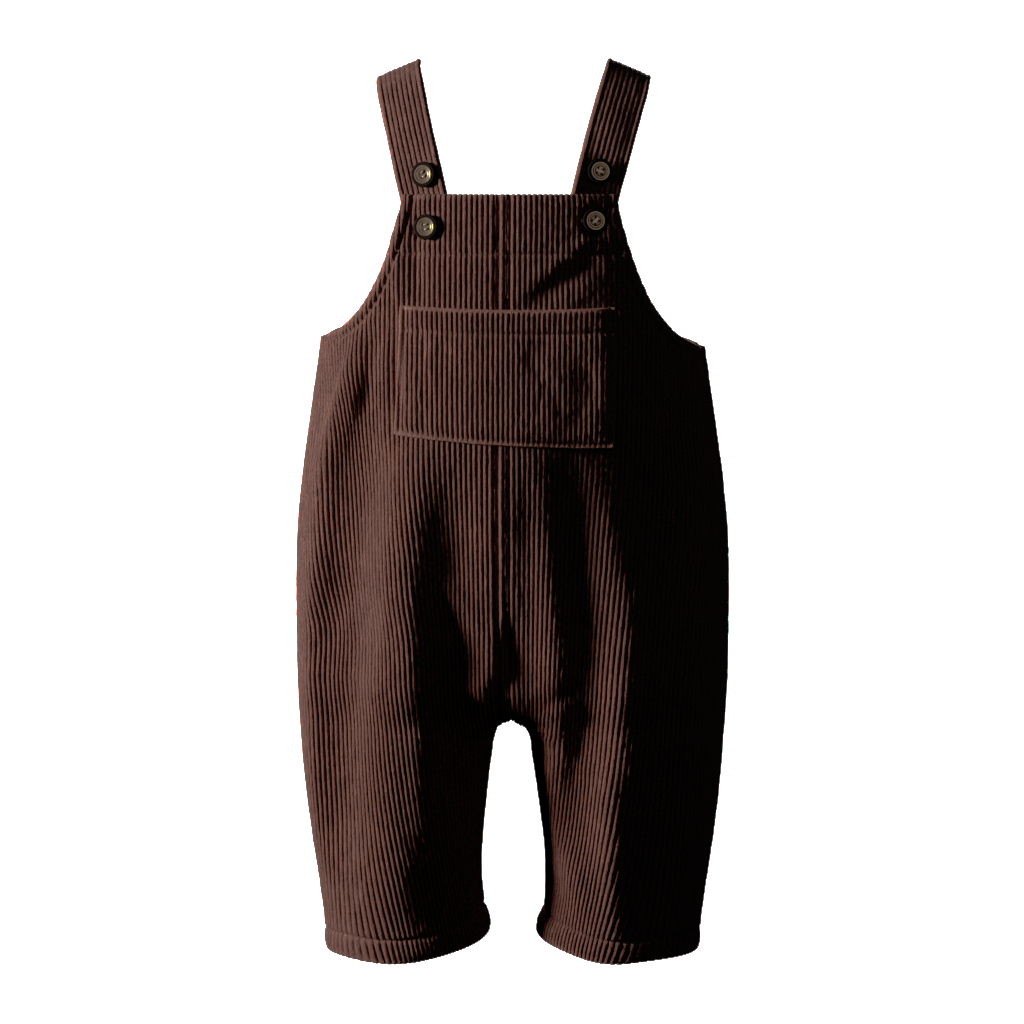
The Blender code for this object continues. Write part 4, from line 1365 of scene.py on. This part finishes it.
def bumped(tree, shader, heights, distance, strength):
    """Gives a shader bumps from a list of (socket, weight)."""
    total = None
    for socket, weight in heights:
        part = tree.nodes.new("ShaderNodeMath")
        part.operation = "MULTIPLY_ADD"
        part.inputs[1].default_value = weight
        part.inputs[2].default_value = 0.0
        tree.links.new(socket, part.inputs[0])
        if total is not None:
            tree.links.new(total, part.inputs[2])
        total = part.outputs["Value"]
    bump = tree.nodes.new("ShaderNodeBump")
    bump.inputs["Distance"].default_value = distance
    bump.inputs["Strength"].default_value = strength
    tree.links.new(total, bump.inputs["Height"])
    tree.links.new(bump.outputs["Normal"], shader.inputs["Normal"])


def corduroy_material():
    """Cut pile: pale worn tops, dark grooves, short uneven tufts along each wale, painted shade where it is
    pressed, and turned edges worn pale with a painted highlight.
    """
    material, tree, shader = shader_graph("corduroy_pile")
    tone = attribute_node(tree, "tone")
    ragged = tree.nodes.new("ShaderNodeMath")
    ragged.operation = "MULTIPLY_ADD"
    ragged.inputs[1].default_value = 0.5
    tufts = noise_node(tree, 1300.0, 3.0, 0.6, (1.0, 1.0, 0.55))
    streaks = noise_node(tree, 330.0, 3.0, 0.55, (1.0, 1.0, 0.22))
    patches = noise_node(tree, 38.0, 3.0, 0.5)
    tree.links.new(tufts.outputs["Fac"], ragged.inputs[0])
    tree.links.new(tone.outputs["Fac"], ragged.inputs[2])
    colour = ramp_node(tree, ragged.outputs["Value"], [
        (0.0, PILE_GROOVE), (1.0, PILE_TOP), (0.42, PILE_GROOVE), (0.8, PILE_SIDE)])
    colour = shaded(tree, colour, tufts, (0.28, 0.42), (0.72, 1.55))
    colour = shaded(tree, colour, streaks, (0.3, 0.72), (0.7, 1.25))
    colour = shaded(tree, colour, patches, (0.3, 0.86), (0.7, 1.12))
    # Turned edges lighter: worn pale, and a painted highlight.
    colour = shaded(tree, colour, attribute_node(tree, "wear"), (0.0, 1.0), (1.0, 1.35))
    tree.links.new(colour, shader.inputs["Base Color"])
    set_sockets(shader, {
        "Roughness": 0.88, "Specular IOR Level": 0.18, "Sheen Weight": 0.06, "Sheen Roughness": 0.5,
        "Sheen Tint": (0.62, 0.42, 0.35, 1.0),
    })
    bumped(tree, shader, [(tufts.outputs["Fac"], 1.0), (streaks.outputs["Fac"], 0.6)], 0.0016, 1.0)
    return material


def inside_material():
    """The flat woven back of the cloth: a fine twill."""
    material, tree, shader = shader_graph("corduroy_back")
    wave = tree.nodes.new("ShaderNodeTexWave")
    wave.wave_type, wave.bands_direction = "BANDS", "DIAGONAL"
    wave.inputs["Scale"].default_value = 420.0
    wave.inputs["Distortion"].default_value = 1.2
    place_node = tree.nodes.new("ShaderNodeTexCoord")
    tree.links.new(place_node.outputs["Object"], wave.inputs["Vector"])
    patches = noise_node(tree, 700.0, 3.0)
    colour = ramp_node(tree, wave.outputs["Fac"], [(0.1, times(INSIDE, 0.7)), (0.9, times(INSIDE, 1.25))])
    colour = shaded(tree, colour, patches, (0.3, 0.75), (0.7, 1.2))
    tree.links.new(colour, shader.inputs["Base Color"])
    set_sockets(shader, {"Roughness": 0.92, "Specular IOR Level": 0.15})
    bumped(tree, shader, [(wave.outputs["Fac"], 1.0), (patches.outputs["Fac"], 0.5)], 0.0003, 0.6)
    return material


def thread_material(name, colour):
    """Twisted sewing thread."""
    material, tree, shader = shader_graph(name)
    twist = noise_node(tree, 2600.0, 2.0, 0.5, (1.0, 1.0, 0.6))
    mottled = ramp_node(tree, twist.outputs["Fac"], [(0.3, times(colour, 0.6)), (0.7, times(colour, 1.5))])
    tree.links.new(mottled, shader.inputs["Base Color"])
    set_sockets(shader, {"Roughness": 0.8, "Specular IOR Level": 0.15})
    bumped(tree, shader, [(twist.outputs["Fac"], 1.0)], 0.0002, 0.6)
    return material


def horn_material():
    """Horn-look resin: olive and mottled."""
    material, tree, shader = shader_graph("horn")
    clouds = noise_node(tree, 260.0, 4.0, 0.6, (1.0, 0.45, 1.0))
    mottled = ramp_node(tree, clouds.outputs["Fac"], [(0.32, HORN_DARK), (0.62, HORN_LIGHT)])
    tree.links.new(mottled, shader.inputs["Base Color"])
    set_sockets(shader, {"Roughness": 0.45, "Specular Tint": (1.0, 0.88, 0.58, 1.0)})
    scratches = noise_node(tree, 900.0, 3.0)
    bumped(tree, shader, [(scratches.outputs["Fac"], 1.0)], 0.00005, 0.6)
    return material


def rim_material():
    """The dull rim of a button: its own dark, made nearly black as painted shade round the button."""
    material, _, shader = shader_graph("horn_rim")
    set_sockets(shader, {"Base Color": HORN_RIM, "Roughness": 0.85, "Specular IOR Level": 0.1})
    return material


# ---------------------------------------------------------------- stage, light and camera
def glowing_white(name, strength):
    """A plain white that lights nothing, so that the dark side of the cloth stays dark."""
    material = bpy.data.materials.new(name)
    material.use_nodes = True
    tree = material.node_tree
    tree.nodes.remove(tree.nodes["Principled BSDF"])
    emission = tree.nodes.new("ShaderNodeEmission")
    emission.inputs["Color"].default_value = (1.0, 1.0, 1.0, 1.0)
    emission.inputs["Strength"].default_value = strength
    tree.links.new(emission.outputs["Emission"], tree.nodes["Material Output"].inputs["Surface"])
    return material


def make_stage():
    """A pale floor well below the hems, and a plain wall all round."""
    pale = glowing_white("pale", PALE_STRENGTH)
    radius = STAGE_RADIUS * MM
    for name, height in (("floor", 0.0), ("backdrop", BACKDROP_HEIGHT)):
        bm = bmesh.new()
        if height:
            bmesh.ops.create_cone(bm, cap_ends=False, segments=96, radius1=radius, radius2=radius,
                                  depth=height * MM)
        else:
            bmesh.ops.create_circle(bm, cap_ends=True, segments=96, radius=radius)
        bmesh.ops.translate(bm, verts=bm.verts, vec=(0, 0, (height / 2 - FLOOR_DROP) * MM))
        mesh = bpy.data.meshes.new(name)
        bm.to_mesh(mesh)
        bm.free()
        mesh.materials.append(pale)
        item = added(name, mesh)
        for ray in ("diffuse", "glossy", "transmission", "volume_scatter", "shadow"):
            setattr(item, "visible_" + ray, False)


def bearing(azimuth, elevation):
    """The direction from the garment to something at an azimuth from the front and an elevation."""
    a, e = math.radians(azimuth), math.radians(elevation)
    return Vector((math.sin(a) * math.cos(e), -math.cos(a) * math.cos(e), math.sin(e)))


def aimed(name, data, azimuth, elevation, distance):
    """Adds a light or a camera that faces the garment's middle from a distance."""
    item = added(name, data)
    toward = bearing(azimuth, elevation)
    item.location = (Vector(CAMERA_TARGET) + toward * distance) * MM
    item.rotation_mode = "QUATERNION"
    item.rotation_quaternion = toward.to_track_quat("Z", "Y")
    return item


def make_lights():
    """A low key from the left, a soft light behind, and a gleam that shows only in gloss."""
    for name, azimuth, elevation, distance, size, power, colour in LIGHTS:
        light = bpy.data.lights.new(name, "AREA")
        light.shape, light.size, light.energy, light.color = "DISK", size * MM, power, colour
        item = aimed(name, light, azimuth, elevation, distance)
        item.visible_diffuse = name != "gleam"


def make_world():
    world = bpy.data.worlds.new("studio")
    world.use_nodes = True
    shade = world.node_tree.nodes["Background"]
    shade.inputs["Color"].default_value = (1.0, 1.0, 1.0, 1.0)
    shade.inputs["Strength"].default_value = WORLD_STRENGTH
    bpy.context.scene.world = world


def make_camera():
    data = bpy.data.cameras.new("camera")
    data.sensor_width = SENSOR
    data.lens = SENSOR * CAMERA_DISTANCE / (PIXEL * PHOTO_WIDTH)
    bpy.context.scene.camera = aimed("camera", data, PHOTO_AZIMUTH, PHOTO_ELEVATION, CAMERA_DISTANCE)


def develop():
    """The picture's contrast: deep shadows, and lit cloth a little levelled."""
    view = bpy.context.scene.view_settings
    view.view_transform = "Standard"
    view.use_curve_mapping = True
    for curve, stops in zip(view.curve_mapping.curves, (RED_CURVE, COOL_CURVE, COOL_CURVE)):
        for at, (low, high) in enumerate(stops):
            point = curve.points[at] if at < 2 else curve.points.new(low, high)
            point.location = (low, high)
    view.curve_mapping.update()


# ---------------------------------------------------------------- the garment
def settle(piece, node):
    """Rides a piece on the garment's body, in place of its solid."""
    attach(piece, "root")
    if node:
        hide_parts(node)


def main():
    corduroy, inside = corduroy_material(), inside_material()
    thread, pale_thread = thread_material("thread", THREAD), thread_material("button_thread", BUTTON_THREAD)
    horn, rim = horn_material(), rim_material()
    seats = [point for _, point, _ in button_places()]
    for name in FOLDS:
        cloth, stitches, (width, length, area) = make_panel(name, [corduroy, inside], thread, seats)
        settle(cloth, name)
        settle(stitches, None)
    cloth, stitches, (width, length, area) = make_pocket([corduroy, inside], thread)
    settle(cloth, "pocket")
    settle(stitches, None)
    for hand in SIGNS:
        cloth, (width, length, area) = make_strap(hand, [corduroy], seats)
        settle(cloth, "strap_" + hand)
        settle(make_buttonhole(hand, thread), None)
    for where, disc, yarn in make_buttons(horn, rim, pale_thread):
        settle(disc, "button_" + where)
        settle(yarn, None)
    make_stage()
    make_world()
    make_lights()
    make_camera()
    develop()


main()
